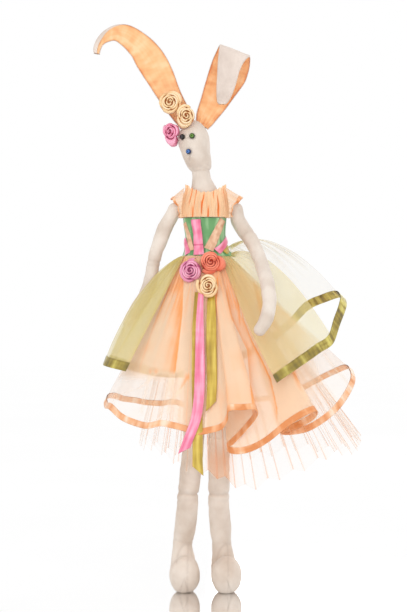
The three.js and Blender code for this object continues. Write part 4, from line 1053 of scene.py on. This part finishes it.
def fall(hem, rows, grow, gathers, depth, seed, rise=0.0, control=None, wraps=True, calm=1.0, tight=7.0):
    """A skirt's surface column by column from the waist to a point of the hem, and how open it lies: low in the
    valleys of its folds, where the cloth is painted deeper as shade, and low in tight folds, where it is painted
    denser.
    """
    angle = np.arctan2(hem[:, 1], hem[:, 0] - WAIST_X)
    waist = waist_ring(angle, grow, rise)
    middle = (waist + hem) / 2 if control is None else control
    t = np.linspace(0, 1, rows)[None, :, None]
    grid = (1 - t) ** 2 * waist[:, None] + 2 * t * (1 - t) * middle[:, None] + t**2 * hem[:, None]
    normal = normals_of(grid, wraps)
    t = t[..., 0]
    steps = np.arange(len(hem)) / len(hem)
    pleat = np.sin(2 * math.pi * gathers * steps + 1.4 * np.sin(2 * math.pi * 5 * steps))[:, None]
    fan = np.sin(2 * math.pi * round(gathers * 0.36) * steps + 2 * np.sin(2 * math.pi * 3 * steps) + seed)[:, None]
    small = pleat * hump(t, 0.2) * np.minimum(1, t * 14)
    large = fan * np.sin(math.pi * t) ** 0.8 * (1 - 0.4 * t) * np.reshape(calm, (-1, 1))
    ruck = depth * small + 1.1 * depth * large + 0.5 * ripple(grid * [1, 1, 0.4], 26, seed + 70) * t
    grid = grid + normal * ruck[..., None]
    valley = np.maximum(0, -(0.9 * small + 0.5 * large)) ** 1.6
    return grid, (1 - 0.7 * valley) * (0.3 + 0.7 * tightness(grid, wraps, tight))


def hem_binding(name, surface, fold):
    """A ribbon folded over a hem: it covers both faces of the grid's last rows and its edge."""
    normal = normals_of(surface, False)
    down = unit(surface[:, -1] - surface[:, -2])
    tip = (surface[:, -1] + down * HEM_OUT)[:, None]
    loop = np.concatenate([surface + normal * HEM_OUT, tip, (surface - normal * HEM_OUT)[:, ::-1]], 1)
    # The ribbon takes on the skirt's painted shade at the hem, and is painted a little darker at the front than at
    # the back, as painted shade
    shade = fold[:, -1:] * np.where(loop[..., 1] < 0, 0.85, 1.0)
    return cloth_grid(name, loop.transpose(1, 0, 2), fold=0.6 + 0.4 * shade.T)


def last_rows(surface, width):
    """The last stretch of a skirt, some width deep, column by column."""
    run = np.linalg.norm(np.diff(surface, axis=1), axis=-1)
    back = np.cumsum(run[:, ::-1], 1)[:, ::-1]
    back = np.concatenate([back, np.zeros((len(surface), 1))], 1)
    at = np.linspace(width, 0, HEM_ROWS)
    return np.array([[[np.interp(-a, -back[i], surface[i, :, c]) for c in range(3)] for a in at]
                     for i in range(len(surface))])


# Tulle petticoat: stiff straight folds to a jagged edge, barely seen except along its folds
PETTICOAT_COLUMNS, PETTICOAT_ROWS = 1320, 60
PETTICOAT_FOLDS = 33
FOLD_DEPTH = 2.6
steps = np.arange(PETTICOAT_COLUMNS) / PETTICOAT_COLUMNS
azimuth = 2 * math.pi * steps
edge = np.abs((steps * PETTICOAT_FOLDS + 0.45 * np.sin(2 * math.pi * 3 * steps)) % 1 * 2 - 1)
fold = (edge - 0.5) * FOLD_DEPTH
back = np.where(np.sin(azimuth) < 0, 86.0, 94.0)
hem = np.stack([42 + (107 + 6 * np.maximum(0, np.cos(azimuth)) ** 3 + fold) * np.cos(azimuth),
                (back - 2 + fold) * np.sin(azimuth),
                WAIST - 206 + 20 * np.abs(np.cos(azimuth)) ** 3 + 7 * (edge - 0.35)
                + 4 * np.sin(7 * azimuth + 0.6) - 21 * hump(azimuth - math.radians(268), 0.25)], -1)
grid, fold = fall(hem, PETTICOAT_ROWS, 0.9, gathers=66, depth=0.4, seed=1, tight=2.2)
creases = (0.45 * hump(edge - 1, 0.12) + 0.3 * hump(edge, 0.1))[:, None]
fold = fold - creases * np.linspace(0, 1, PETTICOAT_ROWS)
# Two layers lie over the right leg
x, y, z = np.moveaxis(grid, -1, 0)
fold = fold - np.minimum(0.85, 1.4 * hump(x - 14, 12)) * (y < 0) * np.clip((190 - z) / 50, 0, 1)
petticoat = cloth_grid("petticoat_tulle", grid, wraps=True, fold=fold)
dress(petticoat, TULLE, "tulle", "petticoat", body="torso")

# Chiffon skirt: hem points [x, y] of the frame with a depth, then the back as plain places
CHIFFON_FRONT = [
    (109, 409, -34), (120, 419, -50), (133, 425, -66), (147, 428.5, -84), (160, 426, -90), (172, 428, -97),
    (184, 431, -104), (195, 434.5, -107), (209, 433, -110), (222, 429, -113), (227.5, 420, -116),
    (229, 411, -119), (242, 409.5, -122), (255, 409.5, -119), (257, 416, -113), (247, 429, -103),
    (235, 442, -95), (227.5, 450, -92), (233, 453.5, -97), (245, 453, -101), (258, 448, -99), (272, 439, -94),
    (288, 426, -90), (304, 416, -86), (317, 411, -80), (314, 419, -70), (298, 428, -62), (281, 433.5, -58),
    (292, 434.5, -57), (308, 431, -54), (324, 422, -48), (339, 409, -36), (349, 395, -20), (355, 382, -4),
    (354, 374, 10), (348, 369, 24),
]
CHIFFON_BACK = [(128, 52, 213), (113, 64, 204), (98, 70, 196), (84, 84, 190), (66, 88, 186), (50, 98, 184),
                (33, 92, 181), (16, 94, 182), (0, 101, 180), (-16, 100, 177), (-32, 92, 182), (-47, 88, 181),
                (-62, 84, 182), (-73, 72, 185), (-85, 62, 187), (-93, 44, 191), (-99, 24, 192), (-101, 4, 190),
                (-99, -14, 185)]
hem = even(np.array([seen(*p) for p in CHIFFON_FRONT] + [list(p) for p in CHIFFON_BACK]), 1400, closed=True)
surface, fold = fall(hem, 90, 2.6, gathers=64, depth=0.8, seed=2)


# The front hangs in broad folds, one over the other, only painted on as shade: [edge as pixels from the
# top down, how far its painted shade reaches (to the left where negative), depth of the painted shade]
FRONT_FOLDS = [
    ([(182, 284), (181, 312), (177, 348), (172, 388)], -19, 0.22),
    ([(192, 292), (191, 330), (188, 380), (186, 420)], 4, 0.1),
    ([(218, 285), (216.5, 302), (215, 335), (212, 395)], -4.5, 0.3),
    ([(231.7, 264), (234, 280), (238, 300), (240, 312)], -2.4, 0.35),
    ([(227, 296), (232, 318), (247.5, 349), (250, 376), (253, 407)], 9, 0.17),
    ([(243, 318), (252, 341), (263, 362), (271, 380), (277, 408)], -4.5, 0.28),
    ([(252, 276), (255, 290), (259, 305), (262, 322)], 7, 0.35),
    ([(168, 290), (152, 330), (140, 366)], 7, 0.08),
]
# Lower down single layers cross, painted on as lines of shade: [line, half width, shade]
LOW_FOLDS = [
    ([(156, 374), (140, 388), (112, 397)], 2.4, 0.2), ([(150, 374), (146, 390), (142, 410)], 2.0, 0.2),
    ([(171, 380), (166, 398), (160, 416)], 2.6, 0.2), ([(187, 378), (178, 392), (168, 408)], 2.2, 0.2),
    ([(294, 372), (299, 386), (306, 398)], 3.0, 0.2), ([(311, 360), (320, 380), (334, 398)], 3.0, 0.2),
    ([(325, 356), (338, 372), (349, 384)], 2.4, 0.2),
]
px, py = pixels(surface)
front = surface[..., 1] < -4
# Where the front lies in many layers it is painted denser and deeper, and a little deeper towards the waist
dense = np.maximum(window(px, 160, 186, 292, 326), (1 - step(py, 370, 384)) * window(px, 108, 130, 280, 320)) * front
fold = mix(0.45 + 0.55 * fold, 0.09 + 0.16 * fold, dense) - 0.03 * (1 - step(py, 270, 330))
for edge, spread, shade in FRONT_FOLDS:
    edge = np.array(edge, float)
    line = np.interp(py, edge[:, 1], edge[:, 0])
    near = window(py, edge[0, 1] - 14, edge[0, 1] + 4, edge[-1, 1] - 4, edge[-1, 1] + 22)
    away = (px - line) / spread
    fold = fold - shade * near * front * np.where(away > -0.08, np.exp(-np.maximum(away, 0) * 2.2), 0)
for edge, half, shade in LOW_FOLDS:
    edge = np.array(edge, float)
    near = window(py, edge[0, 1] - 8, edge[0, 1], edge[-1, 1], edge[-1, 1] + 8)
    fold = fold - shade * near * front * hump(px - np.interp(py, edge[:, 1], edge[:, 0]), half)
chiffon = cloth_grid("chiffon_skirt_soft", surface, wraps=True, fold=fold)
dress(chiffon, CHIFFON, "chiffon", "chiffon_skirt", body="torso")
closed = np.concatenate([surface, surface[:1]])
binding = hem_binding("chiffon_hem_soft", last_rows(closed, HEM_RIBBON), np.concatenate([fold, fold[:1]]))
dress(binding, HEM, "hem_satin", "chiffon_skirt_hem", body="torso")

# Overskirt: crisp organza that springs out at the right and back. Hem places [x, y, z] with the share of the
# way out and the height at which each column turns down. Between GAP[0] and GAP[1] only its hem ribbon runs on.
OVERSKIRT = [
    [68, -88, 214.2, 0.36, 275], [96.2, -60, 231.1, 0.32, 318], [112, -44, 241, 0.37, 338],
    [125.6, -30, 249.7, 0.40, 352], [134, -12, 268.1, 0.38, 364], [141.9, 10, 287, 0.35, 374],
    [138.4, 28, 295.2, 0.33, 378], [123.5, 46, 290, 0.33, 376], [107.2, 64, 281.8, 0.35, 372],
    [89, 84, 262, 0.42, 360], [58, 100, 239, 0.52, 342], [18, 106, 219, 0.6, 325], [-16, 98, 211, 0.6, 322],
    [-47, 80, 212, 0.58, 320], [-70, 56, 218, 0.56, 318], [-88, 36, 224, 0.54, 316], [-99, 20, 228, 0.54, 316],
]
GAP = (3.15, 5.75)
FLAP = [[-101, -17, 229, 0.54, 316], [-99, -31, 228, 0.5, 312], [-91, -41, 226, 0.42, 306],
        [-77, -49, 223, 0.32, 300]]

for name, points, count, seed, gathers, depth in (("overskirt", OVERSKIRT, 1200, 3, 46, 0.9),
                                                  ("overskirt_over_arm", FLAP, 120, 4, 6, 0.35)):
    over_arm = points is FLAP
    knots = spline(points, count)
    index = np.linspace(0, len(points) - 1, count)
    angle = np.arctan2(knots[:, 1], knots[:, 0] - WAIST_X)
    rise = 8 * hump(angle - math.radians(35), 0.8)
    waist = waist_ring(angle, 4.0, rise)
    control = waist + (knots[:, :3] - waist) * knots[:, 3:4]
    control[:, 2] = knots[:, 4]
    calm = 1.0 if over_arm else np.where(index < 3.2, 0.55, 1.0)
    surface, fold = fall(knots[:, :3], 80, 4.0, gathers, depth, seed, rise, control, wraps=False, calm=calm)
    ribbon = hem_binding(name + "_hem_soft", last_rows(surface, OLIVE_HEM_RIBBON), fold)
    dress(ribbon, OLIVE_HEM, "olive_satin", name + "_hem")
    if over_arm:
        organza = cloth_grid(name + "_soft", surface, fold=0.28 * fold)
    else:
        # Doubled in front and on the left, single where it springs out at the back
        single = np.interp(index, [0, 3.15, 5.7, 8.5, 11, 13, 16], [0.47, 0.5, 1.0, 1.0, 0.75, 0.3, 0.22])
        fold = (0.45 + 0.55 * fold) * single[:, None]
        panels = [cloth_grid(name + part, surface[keep], fold=fold[keep])
                  for part, keep in (("_front", index <= GAP[0]), ("_back", index >= GAP[1]))]
        organza = joined(name + "_soft", panels)
    dress(organza, ORGANZA, "organza", name)
    for piece in (organza, ribbon):
        if over_arm:
            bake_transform(piece)
        else:
            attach(piece, "torso")


# Ribbon tails
TAIL_DROP = 203.0
TAIL_WIDTH, TAIL_CUT = 9.5, 9.2


def tail(node, points, widths, material, lean, slant, seed):
    rows = 150
    line = even([[x, 0.0, z] for x, z in points], rows)
    y = [depth_of(node, x, z, 9.0) for x, z in line[:, [0, 2]]]
    known = [k for k, v in enumerate(y) if v is not None]
    line[:, 1] = np.interp(np.arange(rows), known, [y[k] for k in known])
    line[:, 1] = np.convolve(np.pad(line[:, 1], 9, mode="edge"), np.ones(19) / 19, "valid")
    t = np.linspace(0, 1, rows)
    line[:, 1] += 0.5 * np.sin(9 * t + seed) * t
    along = unit(np.gradient(line[:, :3], axis=0))
    twist = lean * np.sin(5 * t + seed) * t
    across = unit(np.stack([-along[:, 2], twist, along[:, 0]], -1))
    width = np.interp(t, np.linspace(0, 1, len(widths)), widths)
    u = np.linspace(-0.5, 0.5, 9)
    slope = slant * np.maximum(0, (t - 0.9) / 0.1)
    grid = (line[None, :, :3] + across[None] * (u[:, None] * width[None])[..., None]
            + along[None] * (u[:, None] * slope[None])[..., None])
    # The ribbon is painted darker along one side where it waves, as painted shade
    fold = 0.95 - 0.25 * np.maximum(0, np.sin(11 * t + seed))[None] * (0.5 - u[:, None])
    made = slab(node + "_satin", grid, 0.35, size=(TAIL_WIDTH, run_along(line)[-1]), fold=fold)
    dress(made, material, "pink_satin" if material is PINK else "olive_satin", node, body="torso")


for name, points, *shape in (
    ("olive_long", [(-7, 0.18), (-8, 0.32), (-8, 0.43), (-8, 0.56), (-7.5, 0.68), (-7, 0.83), (-7, 0.95),
                    (-6.5, 1.005)], [6, 9, 9.5, 9.5, 9.5], OLIVE, 0.15, 9, 1),
    ("olive_short", [(6, 0.18), (6, 0.3), (6, 0.43), (6.5, 0.53), (6.5, 0.61), (5.5, 0.71)],
     [7, 9.5, 10, 9.5, 9], OLIVE, 0.12, -10, 2),
    ("pink", [(-4, 0.18), (-5, 0.3), (-5, 0.43), (-5, 0.56), (-6, 0.68), (-9, 0.77), (-15, 0.85), (-19.5, 0.91)],
     [5, 8, 9.8, 9.8, 9.2], PINK, 0.35, -9, 3),
):
    tail("ribbon_tail_" + name, [[x, WAIST - TAIL_DROP * share] for x, share in points], *shape)

# Floor, light and background
FLOOR_REACH = 6.0
floor_mesh = bpy.data.meshes.new("floor")
corners = [(x * FLOOR_REACH, y * FLOOR_REACH, 0) for x, y in ((-1, -1), (1, -1), (1, 1), (-1, 1))]
floor_mesh.from_pydata(corners, [], [(0, 1, 2, 3)])
floor = bpy.data.objects.new("floor", floor_mesh)
bpy.context.scene.collection.objects.link(floor)
glossy = fresh("floor_gloss")
glossy.colour(glossy.ramp(glossy.noise(3, 2), [(0.4, 0.985), (0.6, 1.0)]))
glossy.set(Roughness=0.03, Metallic=0.93)
floor_mesh.materials.append(glossy.owner)

world = bpy.data.worlds.new("studio")
bpy.context.scene.world = world
sky = Nodes(world)
background, glow = sky.tree.nodes["Background"], sky.add("ShaderNodeBackground")
for node, colour, strength in ((glow, (1, 1, 1, 1), 1.0), (background, (1.0, 0.99, 0.98, 1), 0.88)):
    node.inputs["Color"].default_value = colour
    node.inputs["Strength"].default_value = strength
path = sky.add("ShaderNodeLightPath").outputs
mirrored = sky.calculate("MAXIMUM", path["Is Glossy Ray"], path["Is Transmission Ray"])
blend = sky.add("ShaderNodeMixShader")
sky.link(sky.calculate("MAXIMUM", path["Is Camera Ray"], mirrored), blend.inputs["Fac"])
sky.link(background.outputs[0], blend.inputs[1])
sky.link(glow.outputs[0], blend.inputs[2])
sky.link(blend.outputs[0], sky.tree.nodes["World Output"].inputs["Surface"])


def lamp(name, where, aim, power, size, warmth=(1, 1, 1)):
    data = bpy.data.lights.new(name, "AREA")
    data.energy = power
    data.size = size
    data.color = warmth
    made = bpy.data.objects.new(name, data)
    bpy.context.scene.collection.objects.link(made)
    made.location = Vector(where)
    made.rotation_euler = (Vector(aim) - Vector(where)).to_track_quat("-Z", "Y").to_euler()


lamp("key", (-0.9, -1.4, 1.3), (0, 0, 0.3), 7.4, 1.8, (1, 0.99, 0.97))
lamp("fill", (1.3, -1.2, 0.7), (0, 0, 0.3), 3, 1.6)
lamp("back", (0.6, 1.4, 1.0), (0, 0, 0.3), 8, 1.6)
lamp("low", (0.1, -1.6, 0.2), (0, 0, 0.1), 3.0, 1.0)

bpy.context.scene.view_settings.view_transform = "Standard"
